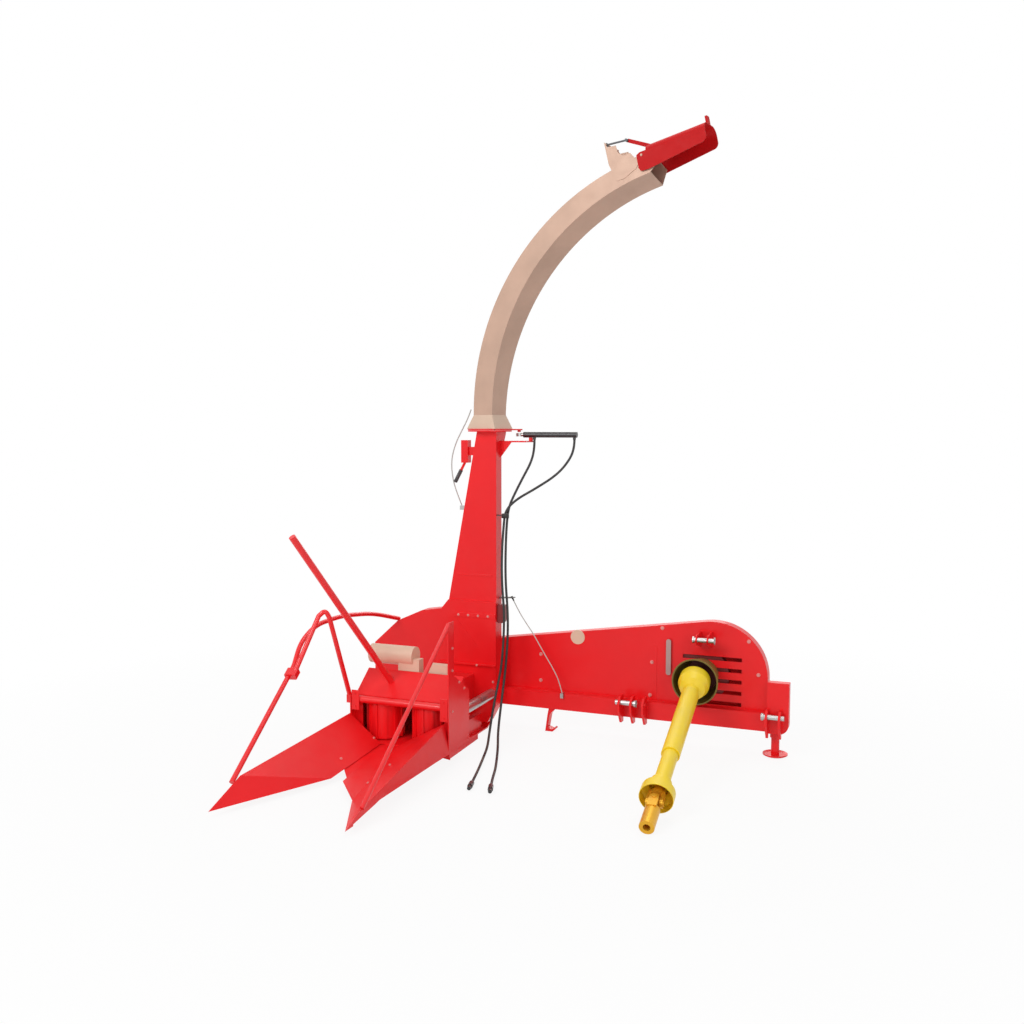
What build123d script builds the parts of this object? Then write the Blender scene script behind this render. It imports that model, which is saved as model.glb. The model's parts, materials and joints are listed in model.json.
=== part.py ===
from build123d import *
import math
import os

# Tractor-mounted single-row forage harvester, in millimetres.
# Machine axes: x = 0 on the input shaft, y = 0 on the front face of the main beam, z = 0 on the floor.
# +X points to the left side of the machine as it is driven, +Y to its rear, +Z up.
# The files are written about the row origin, the floor point under the middle of the machine without its
# hoses.
ORIGIN_X = -760.5
ORIGIN_Y = -892.5

# Sheet, plate and running clearances
SHEET = 3.0
WALL = 4.0
PLATE = 8.0
SEAT = 0.3
CLEAR = 6.0
CUT = 1.0  # how far a cut runs past the face it opens

# Main beam, a square tube
BEAM_SIZE = 100.0
BEAM_WALL = 6.0
BEAM_Z = 140.0
BEAM_LEFT = -1640.0
BEAM_RIGHT = 374.0

# End box at the inner end of the beam, with the sleeve of the parking stand
END_WIDTH = 116.0
END_Z = 136.0
END_TOP = 420.0
END_FRONT = -20.0
END_BACK = 30.0
END_CORNER = 55.0
STAND_X = 413.0
STAND_Y = 42.0
SLEEVE_OUT = 29.0
SLEEVE_IN = 22.8
SLEEVE_LOW = 104.0
SLEEVE_TOP = 262.0
STAND_LEG_R = 22.5
STAND_LEG_WALL = 4.0
STAND_LEG_TOP = 250.0
FOOT_R = 67.5
FOOT_T = 8.0
FOOT_RIM = 14.0

# Hooked rest under the beam
HOOK_X = -905.0
HOOK_WIDTH = 50.0

# Three-point hitch, category 2
HITCH_SPAN = 825.0
HITCH_Y = -60.0
HITCH_Z = 238.0
HITCH_PIN_R = 14.0
EAR_PITCH = 70.0
EAR_T = 12.0
EAR_LOW = 116.0
EAR_R = 34.0
PIN_REACH = 18.0
PIN_HEAD_R = 20.0
PIN_HEAD_T = 8.0
TOP_LINK_X = 22.0
TOP_LINK_Y = -60.0
TOP_LINK_Z = 632.0
TOP_LINK_PIN_R = 12.5
TOP_LINK_GAP = 54.0
TOP_EAR_R = 26.0

# Belt cover
COVER_FRONT = 50.0
COVER_BACK = 122.0
COVER_ARC_X = 60.0
COVER_ARC_Z = 415.0
COVER_ARC_R = 305.0
COVER_LEFT_R = 86.0
VENT_LEFT = -110.0
VENT_RIGHT = 222.0
VENT_LOW = 230.0
VENT_TOP = 545.0
VENT_SLOT = 22.0
VENT_ROWS = 5
DISC_X = -738.0
DISC_Z = 574.0
DISC_R = 43.0
DISC_T = 4.0
BAR_X = -190.0
BAR_LOW = 398.0
BAR_TOP = 604.0
BAR_WIDE = 28.0
BAR_T = 8.0
BAR_OFF = 8.0

# Input shaft, pulley and ring guard
INPUT_Z = 414.0
SHAFT_R = 17.5
PULLEY_R = 150.0
PULLEY_W = 50.0
PULLEY_GAP = 10.0
RING_R = 128.0
RING_BACK_R = 94.0
RING_WALL = 4.0
RING_FRONT = -140.0
HUB_R = 45.0
HUB_FRONT = -92.0
HUB_LENGTH = 70.0
SLEEVE_GAP = 0.6

# Drive shaft with its guard, lying down on the floor
JOINT_Y = -150.0
DRIVE_HEADING = 2.55
PIVOT_R = 8.0
FORK_IN = 26.0
FORK_T = 10.0
FORK_WIDE = 30.0
FORK_FRONT = 14.0
CROSS_SIZE = 24.0
SQUARE_TUBE = 40.0
SQUARE_END = 646.0
CONE_R = 85.0
CONE_LENGTH = 130.0
CONE_BACK = 30.0
CONE_NECK_R = 40.0
NEAR_TUBE_R = 47.0
FAR_TUBE_R = 39.0
GUARD_WALL = 3.0
NEAR_END = 690.0
FAR_START = 420.0
FAR_CONE_START = 905.0
FAR_CONE_END = 1040.0
FAR_CONE_R = 82.0
FAR_NECK_R = 52.0
FAR_BELL = 55.0
YOKE_CROSS = 1070.0
YOKE_END = 1250.0
YOKE_R = 36.0
YOKE_BORE_R = 17.4
YOKE_CORE_R = 26.0
ARM_IN = 25.0
ARM_OUT = 43.0
EYE_R = 22.0
CAP_R = 13.0
# the shaft lies with the lower edge of its far yoke on the floor
DRIVE_TILT = math.degrees(math.asin((INPUT_Z - SEAT) / math.hypot(YOKE_END, YOKE_R))
                          - math.atan(YOKE_R / YOKE_END))

# Tower
TOWER_FRONT = -100.0
TOWER_LEFT_TOP = -1318.0
TOWER_LEFT_LOW = -1506.0
TOWER_TOP = 1788.0
TOWER_FLARE_LOW = 1640.0
TOWER_FLARE_TOP = 1770.0
TOWER_FLARE_BACK = 50.0
FLANGE_R = 130.0
FLANGE_T = 8.0

# Hand lever in its case beside the tower's top
LEVER_Y = -46.0
LEVER_CASE_X = -1436.0
LEVER_CASE_WIDE = 44.0
LEVER_CASE_LOW = 1596.0
LEVER_CASE_TOP = 1730.0
LEVER_LUG_LOW = 1640.0
HANDLE_END_X = -1483.0
HANDLE_END_Z = 1484.0
HANDLE_R = 8.0

# Gear cases on the feed box's roof
GEAR_CASE_LEFT = -1560.0
GEAR_CASE_WIDE = 130.0
GEAR_CASE_FRONT = -645.0
GEAR_CASE_TOP = 520.0
GEAR_BARREL_Y = -606.0
GEAR_BARREL_Z = 530.0
GEAR_BARREL_R = 54.0
GEAR_BARREL_END = -1470.0
SMALL_CASE_LEFT = -1374.0
SMALL_CASE_WIDE = 115.0
SMALL_CASE_FRONT = -640.0
SMALL_CASE_TOP = 500.0

# Blower housing and rotor
DRUM_FRONT = -110.0
DRUM_BACK = -20.0
DRUM_RIGHT = -1196.0
DRUM_TOP = 775.0
DRUM_OUTLINE = [  # x, z
    (-2011.0, 477.0), (-1849.0, 624.0), (-1683.0, 698.0), (-1553.0, 718.0), (TOWER_LEFT_LOW, DRUM_TOP),
    (DRUM_RIGHT, DRUM_TOP), (DRUM_RIGHT, 150.0), (-1250.0, 48.0), (-1790.0, 48.0), (-2011.0, 270.0)]
ROTOR_X = -1600.0
ROTOR_Z = 392.0
ROTOR_R = 300.0
ROTOR_T = 40.0
ROTOR_SHAFT_R = 25.0
ROTOR_BOSS_R = 45.0
LEDGE_Z = 392.0
VALVE_WIDE = 44.0
VALVE_TALL = 110.0
VALVE_Z = 705.0
VALVE_FRONT = -92.0
LEDGE_LEFT = -1560.0
LEDGE_DEEP = 22.0
LEDGE_T = 6.0

# Spout on its turntable
AXIS_X = -1268.0
AXIS_Y = -25.0
SPOUT_HEADING = -10.0
BEND_R = 1295.0
BEND_Z = 1896.0
BEND_END = 79.0
BEND_MIDDLE = 41.0
DUCT_DEEP = 130.0
DUCT_WIDE = 149.0
NOSE = (1088.0, 3173.0)
INNER_NEAR = (1238.0, 1262.0)  # the bend's inner radius at its middle and end, on the near and the far side
INNER_FAR = (1208.0, 1221.0)
SKIRT_WIDE = 196.0
SKIRT_TOP = 1878.0
ARM_R = 178.0
ARM_ANGLE = 35.0
ARM_EYE_R = 20.0
PIN_R = 8.0

ARM_PIN = (AXIS_X + ARM_R * math.cos(math.radians(ARM_ANGLE)),
           AXIS_Y + ARM_R * math.sin(math.radians(ARM_ANGLE)))
CYL_Y = ARM_PIN[1]

# Deflector at the end of the spout
PIVOT_U = 1010.0
PIVOT_Z = 3228.0
PIVOT_PIN_R = 6.0
EYE_OUT = 20.0
BRACKET_T = 3.0
DEFLECTOR_SLOPE = 12.1
TROUGH_HALF = 86.0
TROUGH_START = 26.0
TROUGH_END = 360.0
TROUGH_TOP = 51.0
TROUGH_CORNER = 46.0
TROUGH_LOW_START = 84.0
TROUGH_LOW_END = 50.0
TROUGH_END_CORNER = 30.0
TROUGH_EAR = 29.0
TAB_TALL = 44.0
TAB_WIDE = 34.0
TAB_T = 12.0
TIE_U = 793.0
TIE_Z = 3314.0
TIE_R = 5.0
LEVER_V = -50.0
LEVER_END = (-78.0, 114.0)
LEVER_T = 4.0
LINK_R = 5.0
LINK_V = -61.0

# Turning cylinder
CYL_Z = 1762.0
ROD_EYE_R = 19.0
EYE_T = 20.0
ROD_R = 9.0
BARREL_R = 17.0
BARREL_LENGTH = 334.0
TRUNNION_OFFSET = 75.0
BARREL_LEAD = 45.0
PORT_NEAR = 68.0
PORT_FAR = 318.0
PORT_R = 9.0
PORT_DROP = 12.0
BRACKET_Z = 1718.0
BRACKET_Y = -40.0
POST_R = 12.0
TRUNNION_X = ARM_PIN[0] + TRUNNION_OFFSET
BARREL_X = TRUNNION_X - BARREL_LEAD
PORT_Z = CYL_Z - BARREL_R - PORT_DROP

# Feed box
BOX_LEFT = -1750.0
BOX_RIGHT = -1150.0
BOX_FRONT = -850.0
BOX_BACK = -592.0
BOX_FLOOR = 92.0
BOX_ROOF = 336.0
ROOF_FRONT = -798.0
SIDE_T = 6.0
SIDE_LOW = 52.0
POST_TOP = 780.0
POST_DEEP = 67.0
SLOPE_TOP = 486.0
SLOPE_LOW = 372.0
RAIL_TOP = 100.0
RAIL_BACK = -474.0
ROLL_R = 105.0
ROLL_Y = -708.0
ROLL_PITCH = 283.0
ROLL_MIDDLE = -1465.0
ROLL_CORE_R = 98.0
ROLL_RIBS = 12
ROLL_RIB_T = 10.0
ROLL_SHAFT_R = 20.0
THROAT_WIDE = 250.0
GUARD_RISE = 117.0
SKID_WIDE = 60.0
SKID_T = 8.0
TUBE_X = -1225.0
TUBE_Z = 225.0
TUBE_R = 30.0

# Front bar, guards and guide tubes
BAR_Y = -822.0
BAR_Z = 318.0
FRONT_BAR_R = 20.0
POLE_R = 18.0
GUIDE_R = 13.0
THIN_GUIDE_R = 11.0
GUIDE_END_IN = 8.0
GUIDE_END_BEND = 200.0
CLAMP_PLACE = 55.0
CLAMP_HALF = 24.0

# Crop dividers
CREST_Z = 242.0
TIP_Z = 30.0
PLATE_LAP = 5.0

# Hoses and cables
HOSE_R = 7.0
CABLE_R = 3.5
THREAD_R = 3.0
CLIP_GAP = 2.0
CLIP_HALF = 9.0
CLIP_TALL = 26.0
COUPLER_R = 13.5
COUPLER_BODY = 58.0
COUPLER_NOSE_R = 10.0
COUPLER_NOSE = 32.0


def block(x0, x1, y0, y1, z0, z1):
    return Pos((x0 + x1) / 2, (y0 + y1) / 2, (z0 + z1) / 2) * Box(x1 - x0, y1 - y0, z1 - z0)


def outline(points):
    return make_face(Polyline(*points, close=True))


def prism_y(shape, y0, y1):
    # a flat x-z shape drawn out from y0 to y1
    plane = Plane(origin=(0, y1, 0), x_dir=(1, 0, 0), z_dir=(0, -1, 0))
    return extrude(plane * shape, amount=y1 - y0)


def prism_x(shape, x0, x1):
    # a flat y-z shape drawn out from x0 to x1
    plane = Plane(origin=(x0, 0, 0), x_dir=(0, 1, 0), z_dir=(1, 0, 0))
    return extrude(plane * shape, amount=x1 - x0)


def rod(start, end, radius, bore=0.0):
    start, end = Vector(start), Vector(end)
    plane = Plane(origin=start, z_dir=end - start)
    section = Circle(radius) - Circle(bore) if bore else Circle(radius)
    return extrude(plane * section, amount=(end - start).length)


def bent_tube(points, radii, radius, wall=0.0):
    path = FilletPolyline(*points, radius=radii)
    plane = Plane(origin=path @ 0, z_dir=path % 0)
    solid = sweep(plane * Circle(radius), path=path)
    if wall:
        solid = solid - sweep(plane * Circle(radius - wall), path=path)
    return solid


def join(*shapes):
    whole = shapes[0]
    for shape in shapes[1:]:
        whole = whole + shape
    return whole


def largest(shape):
    return shape.solids().sort_by(SortBy.VOLUME)[-1]


def corner_radii(points, share=0.45):
    # each bend takes 0.45 of its shorter run, divided by the tangent of half the turn
    radii = []
    for a, b, c in zip(points, points[1:], points[2:]):
        before, after = Vector(b) - Vector(a), Vector(c) - Vector(b)
        turn = math.radians(before.get_angle(after))
        radii.append(share * min(before.length, after.length) / math.tan(turn / 2))
    return radii


# Frame


def main_beam():
    outer = block(BEAM_LEFT, BEAM_RIGHT, 0, BEAM_SIZE, BEAM_Z, BEAM_Z + BEAM_SIZE)
    inner = block(BEAM_LEFT - 1, BEAM_RIGHT + 1, BEAM_WALL, BEAM_SIZE - BEAM_WALL,
                  BEAM_Z + BEAM_WALL, BEAM_Z + BEAM_SIZE - BEAM_WALL)
    return outer - inner


def end_box():
    right = BEAM_RIGHT + END_WIDTH
    shape = outline([(BEAM_RIGHT, END_Z), (right, END_Z), (right, END_TOP), (BEAM_RIGHT, END_TOP)])
    low_corner = shape.vertices().filter_by_position(Axis.X, right - 1, right + 1).sort_by(Axis.Y)[0]
    shape = fillet(low_corner, END_CORNER)
    body = prism_y(shape, END_FRONT, END_BACK)
    body -= prism_y(offset(shape, amount=-WALL), END_FRONT + WALL, END_BACK + 1)
    sleeve = Pos(STAND_X, STAND_Y, SLEEVE_LOW) * extrude(Circle(SLEEVE_OUT), SLEEVE_TOP - SLEEVE_LOW)
    bore = Pos(STAND_X, STAND_Y, SLEEVE_LOW - 1) * extrude(Circle(SLEEVE_IN), SLEEVE_TOP - SLEEVE_LOW + 2)
    web = block(STAND_X - 4, STAND_X + 4, END_FRONT + WALL, STAND_Y - SLEEVE_IN - 1, END_Z, SLEEVE_TOP)
    return body + web + sleeve - bore


def stand_leg():
    leg = Pos(STAND_X, STAND_Y, FOOT_T) * extrude(
        Circle(STAND_LEG_R) - Circle(STAND_LEG_R - STAND_LEG_WALL), STAND_LEG_TOP - FOOT_T)
    profile = outline([(0, 0), (FOOT_R - FOOT_RIM, 0), (FOOT_R, FOOT_RIM / 2), (FOOT_R, FOOT_RIM),
                       (FOOT_R - FOOT_RIM, FOOT_T), (0, FOOT_T)])
    foot = Pos(STAND_X, STAND_Y, 0) * revolve(Plane.XZ * profile, Axis.Z)
    return leg + foot


def hook_rest():
    top, low = BEAM_Z, 0.0
    shape = outline([(HOOK_X, top), (HOOK_X + 45, top), (HOOK_X + 22, top - 18), (HOOK_X + 6, top - 40),
                     (HOOK_X - 8, 22), (HOOK_X + 20, 13), (HOOK_X + 34, 24), (HOOK_X + 42, 17),
                     (HOOK_X + 24, low), (HOOK_X - 22, low), (HOOK_X - 8, top - 40)])
    return prism_y(shape, 10, 10 + HOOK_WIDTH)


def hitch_ear(x):
    shape = outline([(0, EAR_LOW), (0, HITCH_Z + EAR_R), (HITCH_Y, HITCH_Z + EAR_R),
                     (HITCH_Y - EAR_R, HITCH_Z), (HITCH_Y - EAR_R + 8, HITCH_Z - 50), (-40, EAR_LOW)])
    hole = Plane.YZ * Pos(HITCH_Y, HITCH_Z) * Circle(HITCH_PIN_R + SEAT)
    ear = prism_x(shape, x - EAR_T / 2, x + EAR_T / 2)
    return ear - extrude(Pos(x - EAR_T, 0, 0) * hole, 2 * EAR_T)


def hitch_brackets():
    middle = HITCH_SPAN / 2
    left = [hitch_ear(-middle + step * EAR_PITCH / 2) for step in (-1, 1, 3)]
    right = [hitch_ear(middle + step * EAR_PITCH / 2) for step in (-1, 1)]
    right = [ear - block(BEAM_RIGHT, BEAM_RIGHT + END_WIDTH, END_FRONT, 10, 0, END_TOP) for ear in right]
    return Compound(children=left + right)


def hitch_pins():
    pins = []
    for side in (-1, 1):
        middle = side * HITCH_SPAN / 2
        reach = EAR_PITCH / 2 + EAR_T / 2 + PIN_REACH
        pin = rod((middle - reach, HITCH_Y, HITCH_Z), (middle + reach, HITCH_Y, HITCH_Z), HITCH_PIN_R)
        head = rod((middle - side * reach, HITCH_Y, HITCH_Z),
                   (middle - side * (reach - PIN_HEAD_T), HITCH_Y, HITCH_Z), PIN_HEAD_R)
        pins.append(pin + head)
    return Compound(children=pins)


def top_link_bracket():
    ears = []
    for side in (-1, 1):
        x = TOP_LINK_X + side * (TOP_LINK_GAP + PLATE) / 2
        shape = outline([(COVER_FRONT, TOP_LINK_Z - 60), (COVER_FRONT, TOP_LINK_Z + 32),
                         (TOP_LINK_Y, TOP_LINK_Z + TOP_EAR_R), (TOP_LINK_Y - TOP_EAR_R, TOP_LINK_Z),
                         (TOP_LINK_Y, TOP_LINK_Z - TOP_EAR_R)])
        ear = prism_x(shape, x - PLATE / 2, x + PLATE / 2)
        ears.append(ear - rod((x - PLATE, TOP_LINK_Y, TOP_LINK_Z), (x + PLATE, TOP_LINK_Y, TOP_LINK_Z),
                              TOP_LINK_PIN_R + SEAT))
    web = block(TOP_LINK_X - TOP_LINK_GAP / 2, TOP_LINK_X + TOP_LINK_GAP / 2,
                COVER_FRONT - PLATE, COVER_FRONT, TOP_LINK_Z - 60, TOP_LINK_Z + 32)
    return join(*ears, web)


def top_link_pin():
    reach = TOP_LINK_GAP / 2 + PLATE + PIN_REACH
    pin = rod((TOP_LINK_X - reach, TOP_LINK_Y, TOP_LINK_Z), (TOP_LINK_X + reach + 14, TOP_LINK_Y, TOP_LINK_Z),
              TOP_LINK_PIN_R)
    head = rod((TOP_LINK_X - reach, TOP_LINK_Y, TOP_LINK_Z),
               (TOP_LINK_X - reach + PIN_HEAD_T, TOP_LINK_Y, TOP_LINK_Z), TOP_LINK_PIN_R + 6)
    return pin + head


# Belt cover and input shaft


def cover_shape():
    # the belt's outline: a small arc about the rotor's shaft, a line, and the large arc at the input end
    low = BEAM_Z + BEAM_SIZE
    along, rise = COVER_ARC_X - ROTOR_X, COVER_ARC_Z - ROTOR_Z
    slope = math.atan2(rise, along) + math.asin((COVER_ARC_R - COVER_LEFT_R) / math.hypot(along, rise))

    def on_arc(x, z, radius, angle):
        return (x + radius * math.cos(angle), z + radius * math.sin(angle))

    up = math.pi / 2 + slope
    left = on_arc(ROTOR_X, ROTOR_Z, COVER_LEFT_R, math.pi)
    right = on_arc(COVER_ARC_X, COVER_ARC_Z, COVER_ARC_R, 0)
    left_top = on_arc(ROTOR_X, ROTOR_Z, COVER_LEFT_R, up)
    right_top = on_arc(COVER_ARC_X, COVER_ARC_Z, COVER_ARC_R, up)
    left_middle = on_arc(ROTOR_X, ROTOR_Z, COVER_LEFT_R, (math.pi + up) / 2)
    return make_face([Polyline(right, (right[0], low), (left[0], low), left),
                      ThreePointArc(left, left_middle, left_top),
                      Line(left_top, right_top),
                      ThreePointArc(right_top, on_arc(COVER_ARC_X, COVER_ARC_Z, COVER_ARC_R, up / 2), right)])


def belt_cover():
    shape = cover_shape()
    body = prism_y(shape, COVER_FRONT, COVER_BACK)
    body -= prism_y(offset(shape, amount=-SHEET), COVER_FRONT + SHEET, COVER_BACK - SHEET)
    pitch = (VENT_TOP - VENT_LOW) / VENT_ROWS
    front = (COVER_FRONT - CUT, COVER_FRONT + SHEET + CUT)
    for row in range(VENT_ROWS):
        low = VENT_LOW + (row + 0.5) * pitch - VENT_SLOT / 2
        body -= block(VENT_LEFT, VENT_RIGHT, *front, low, low + VENT_SLOT)
    body -= rod((0, front[0], INPUT_Z), (0, front[1], INPUT_Z), RING_BACK_R)
    body -= rod((ROTOR_X, front[0], ROTOR_Z), (ROTOR_X, front[1], ROTOR_Z), ROTOR_SHAFT_R + CLEAR)
    return body


def cover_disc():
    return rod((DISC_X, COVER_FRONT - DISC_T, DISC_Z), (DISC_X, COVER_FRONT, DISC_Z), DISC_R)


def storage_bar():
    back = COVER_FRONT - BAR_OFF
    strip = outline([(BAR_X - BAR_WIDE / 2, BAR_LOW), (BAR_X + BAR_WIDE / 2, BAR_LOW),
                     (BAR_X + BAR_WIDE / 2, BAR_TOP), (BAR_X - BAR_WIDE / 2, BAR_TOP)])
    bar = prism_y(fillet(strip.vertices(), BAR_WIDE / 2 - 1), back - BAR_T, back)
    spacers = [rod((BAR_X, back, z), (BAR_X, COVER_FRONT, z), BAR_WIDE / 4)
               for z in (BAR_LOW + BAR_WIDE / 2, BAR_TOP - BAR_WIDE / 2)]
    return join(bar, *spacers)


def ring_guard():
    # an open bowl, wider at its mouth
    seat_r = RING_BACK_R - SEAT
    profile = outline([(RING_R, RING_FRONT), (seat_r, COVER_FRONT), (seat_r, COVER_FRONT + SHEET),
                       (seat_r - RING_WALL, COVER_FRONT + SHEET), (seat_r - RING_WALL, COVER_FRONT),
                       (RING_R - RING_WALL, RING_FRONT + RING_WALL), (RING_R - 2 * RING_WALL, RING_FRONT)])
    return Pos(0, 0, INPUT_Z) * revolve(profile, Axis.Y)


def input_shaft():
    return rod((0, HUB_FRONT, INPUT_Z), (0, COVER_BACK - SHEET - SEAT, INPUT_Z), SHAFT_R)


def joint_fork():
    # the sleeve round the shaft's end carries two arms that hold the upright pivots of the joint's cross
    sleeve = rod((0, HUB_FRONT, INPUT_Z), (0, HUB_FRONT + HUB_LENGTH, INPUT_Z), HUB_R, SHAFT_R + SLEEVE_GAP)
    arms = [block(-FORK_WIDE / 2, FORK_WIDE / 2, JOINT_Y - FORK_FRONT, HUB_FRONT, low, low + FORK_T)
            for low in (INPUT_Z + FORK_IN, INPUT_Z - FORK_IN - FORK_T)]
    holes = rod((0, JOINT_Y, INPUT_Z - HUB_R), (0, JOINT_Y, INPUT_Z + HUB_R), PIVOT_R + SEAT)
    return join(sleeve, *arms) - holes


def input_pulley():
    y = COVER_FRONT + PULLEY_GAP
    return rod((0, y, INPUT_Z), (0, y + PULLEY_W, INPUT_Z), PULLEY_R, SHAFT_R)


# Drive shaft: built along its own z axis from the joint's centre, then laid down


def drive_place():
    tilt, heading = math.radians(DRIVE_TILT), math.radians(DRIVE_HEADING)
    along = Vector(math.sin(heading) * math.cos(tilt), -math.cos(heading) * math.cos(tilt), -math.sin(tilt))
    across = Vector(math.cos(heading), math.sin(heading), 0)
    return Plane(origin=(0, JOINT_Y, INPUT_Z), x_dir=across, z_dir=along).location


def on_drive(shape):
    return drive_place() * shape


def turned(points):
    return revolve(Plane.XZ * outline(points), Axis.Z)


def drive_joint():
    # the cross: upright pivots in the hub's fork, level ones in the drive shaft's fork
    reach = FORK_IN + FORK_T
    heading = math.radians(DRIVE_HEADING)
    across = Vector(math.cos(heading), math.sin(heading), 0) * reach
    centre = Vector(0, JOINT_Y, INPUT_Z)
    body = Pos(*centre) * Rot(0, 0, DRIVE_HEADING) * Box(CROSS_SIZE, CROSS_SIZE, CROSS_SIZE)
    upright = rod(centre - Vector(0, 0, reach), centre + Vector(0, 0, reach), PIVOT_R)
    level = rod(centre - across, centre + across, PIVOT_R)
    return join(body, upright, level)


def drive_guard_near():
    # a bell with a shallow face, a neck, and the outer guard tube with a guide ring at its end
    wall = GUARD_WALL
    guide = FAR_TUBE_R + 1.0
    shape = turned([(CONE_R - wall, -CONE_BACK), (CONE_R, -CONE_BACK), (CONE_R, 24), (CONE_R - 16, 66),
                    (CONE_NECK_R, 84), (CONE_NECK_R, CONE_LENGTH - 14), (NEAR_TUBE_R, CONE_LENGTH),
                    (NEAR_TUBE_R, NEAR_END), (guide, NEAR_END), (guide, NEAR_END - 10),
                    (NEAR_TUBE_R - wall, NEAR_END - 10), (NEAR_TUBE_R - wall, CONE_LENGTH),
                    (CONE_NECK_R - wall, CONE_LENGTH - 14), (CONE_NECK_R - wall, 81), (CONE_R - 18, 63),
                    (CONE_R - wall, 24)])
    return on_drive(shape)


def drive_shaft_near():
    bridge_at = FORK_IN + FORK_T
    tube = extrude(Pos(0, 0, bridge_at + FORK_T) * Rectangle(SQUARE_TUBE, SQUARE_TUBE),
                   SQUARE_END - bridge_at - FORK_T)
    arms = [Pos(side * (FORK_IN + FORK_T / 2), 0, (bridge_at - FORK_FRONT) / 2)
            * Box(FORK_T, FORK_WIDE, bridge_at + FORK_FRONT) for side in (-1, 1)]
    bridge = Pos(0, 0, bridge_at + FORK_T / 2) * Box(2 * (FORK_IN + FORK_T), FORK_WIDE, FORK_T)
    ring = Pos(0, 0, CONE_LENGTH + 20) * extrude(Circle(NEAR_TUBE_R - GUARD_WALL - SEAT), 16)
    holes = rod((-FORK_IN - FORK_T - CUT, 0, 0), (FORK_IN + FORK_T + CUT, 0, 0), PIVOT_R + SEAT)
    return on_drive(join(tube, *arms, bridge, ring) - holes)


def drive_guard_far():
    wall, bell = GUARD_WALL, FAR_CONE_END - FAR_BELL
    shape = turned([(FAR_TUBE_R - wall, FAR_START), (FAR_TUBE_R, FAR_START), (FAR_TUBE_R, FAR_CONE_START),
                    (FAR_NECK_R, FAR_CONE_START + 14), (FAR_NECK_R, FAR_CONE_START + 50), (FAR_CONE_R, bell),
                    (FAR_CONE_R, FAR_CONE_END), (FAR_CONE_R - wall, FAR_CONE_END), (FAR_CONE_R - wall, bell),
                    (FAR_NECK_R - wall, FAR_CONE_START + 50), (FAR_NECK_R - wall, FAR_CONE_START + 14),
                    (FAR_TUBE_R - wall, FAR_CONE_START)])
    collar = Pos(0, 0, FAR_CONE_START - 60) * extrude(Circle(FAR_TUBE_R - 1) - Circle(YOKE_CORE_R + SEAT), 14)
    return on_drive(shape + collar)


def fork_arm(side, foot, turn):
    # an arm with a round eye about the cross, its foot on the hub at the given distance
    low, high = sorted((foot, YOKE_CROSS))
    shape = Rectangle(2 * EYE_R, high - low)
    flat = Plane(origin=(side * ARM_IN, 0, (low + high) / 2), x_dir=(0, 1, 0), z_dir=(side, 0, 0))
    arm = extrude(flat * shape, ARM_OUT - ARM_IN - 4)
    eye = rod((side * ARM_IN, 0, YOKE_CROSS), (side * (ARM_OUT - 4), 0, YOKE_CROSS), EYE_R)
    return Rot(0, 0, turn) * (arm + eye)


def far_yoke():
    core_start = FAR_CONE_START - 80
    core = Pos(0, 0, core_start) * extrude(Circle(YOKE_CORE_R), YOKE_CROSS - 50 - core_start)
    base = Pos(0, 0, YOKE_CROSS - 66) * extrude(Circle(YOKE_R), 24)
    cross = join(rod((-ARM_OUT, 0, YOKE_CROSS), (ARM_OUT, 0, YOKE_CROSS), CAP_R),
                 rod((0, -ARM_OUT, YOKE_CROSS), (0, ARM_OUT, YOKE_CROSS), CAP_R))
    hub_start = YOKE_CROSS + 52
    arms = [fork_arm(side, YOKE_CROSS - 60, 0) for side in (-1, 1)]
    outer_arms = [fork_arm(side, hub_start + 14, 90) for side in (-1, 1)]
    plate = Pos(0, 0, hub_start) * extrude(Circle(YOKE_R), 26)
    hub = Pos(0, 0, hub_start) * extrude(Circle(YOKE_R), YOKE_END - hub_start)
    bore = Pos(0, 0, hub_start - 1) * extrude(Circle(YOKE_BORE_R), YOKE_END - hub_start + 2)
    return on_drive(join(core, base, *arms, cross, *outer_arms, plate, hub) - bore)


# Blower


def drum_housing():
    shape = outline(DRUM_OUTLINE)
    body = prism_y(shape, DRUM_FRONT, DRUM_BACK)
    body -= prism_y(offset(shape, amount=-WALL, kind=Kind.INTERSECTION), DRUM_FRONT + WALL, DRUM_BACK - WALL)
    # the ledge across the front, the pad on the beam and the boss of the rotor's bearing
    body += block(LEDGE_LEFT, DRUM_RIGHT, DRUM_FRONT - LEDGE_DEEP, DRUM_FRONT, LEDGE_Z, LEDGE_Z + LEDGE_T)
    body += block(BEAM_LEFT + PLATE, DRUM_RIGHT - PLATE, DRUM_BACK, 0, BEAM_Z, BEAM_Z + BEAM_SIZE)
    body += rod((ROTOR_X, DRUM_BACK, ROTOR_Z), (ROTOR_X, COVER_FRONT, ROTOR_Z), ROTOR_BOSS_R)
    # the ways in from the throat and out to the tower, and the shaft's bore
    body -= block(TOWER_LEFT_LOW + 2 * PLATE, DRUM_RIGHT - SHEET, TOWER_FRONT + SHEET, DRUM_BACK - WALL,
                  DRUM_TOP - 2 * WALL, DRUM_TOP + CUT)
    body -= block(ROLL_MIDDLE - THROAT_WIDE / 2 + WALL, ROLL_MIDDLE + THROAT_WIDE / 2 - WALL,
                  DRUM_FRONT - CUT, DRUM_FRONT + WALL + CUT, BOX_FLOOR + WALL, BOX_ROOF - WALL)
    return body - rod((ROTOR_X, DRUM_BACK - WALL - CUT, ROTOR_Z), (ROTOR_X, COVER_FRONT + CUT, ROTOR_Z),
                      ROTOR_SHAFT_R + CLEAR)


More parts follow.
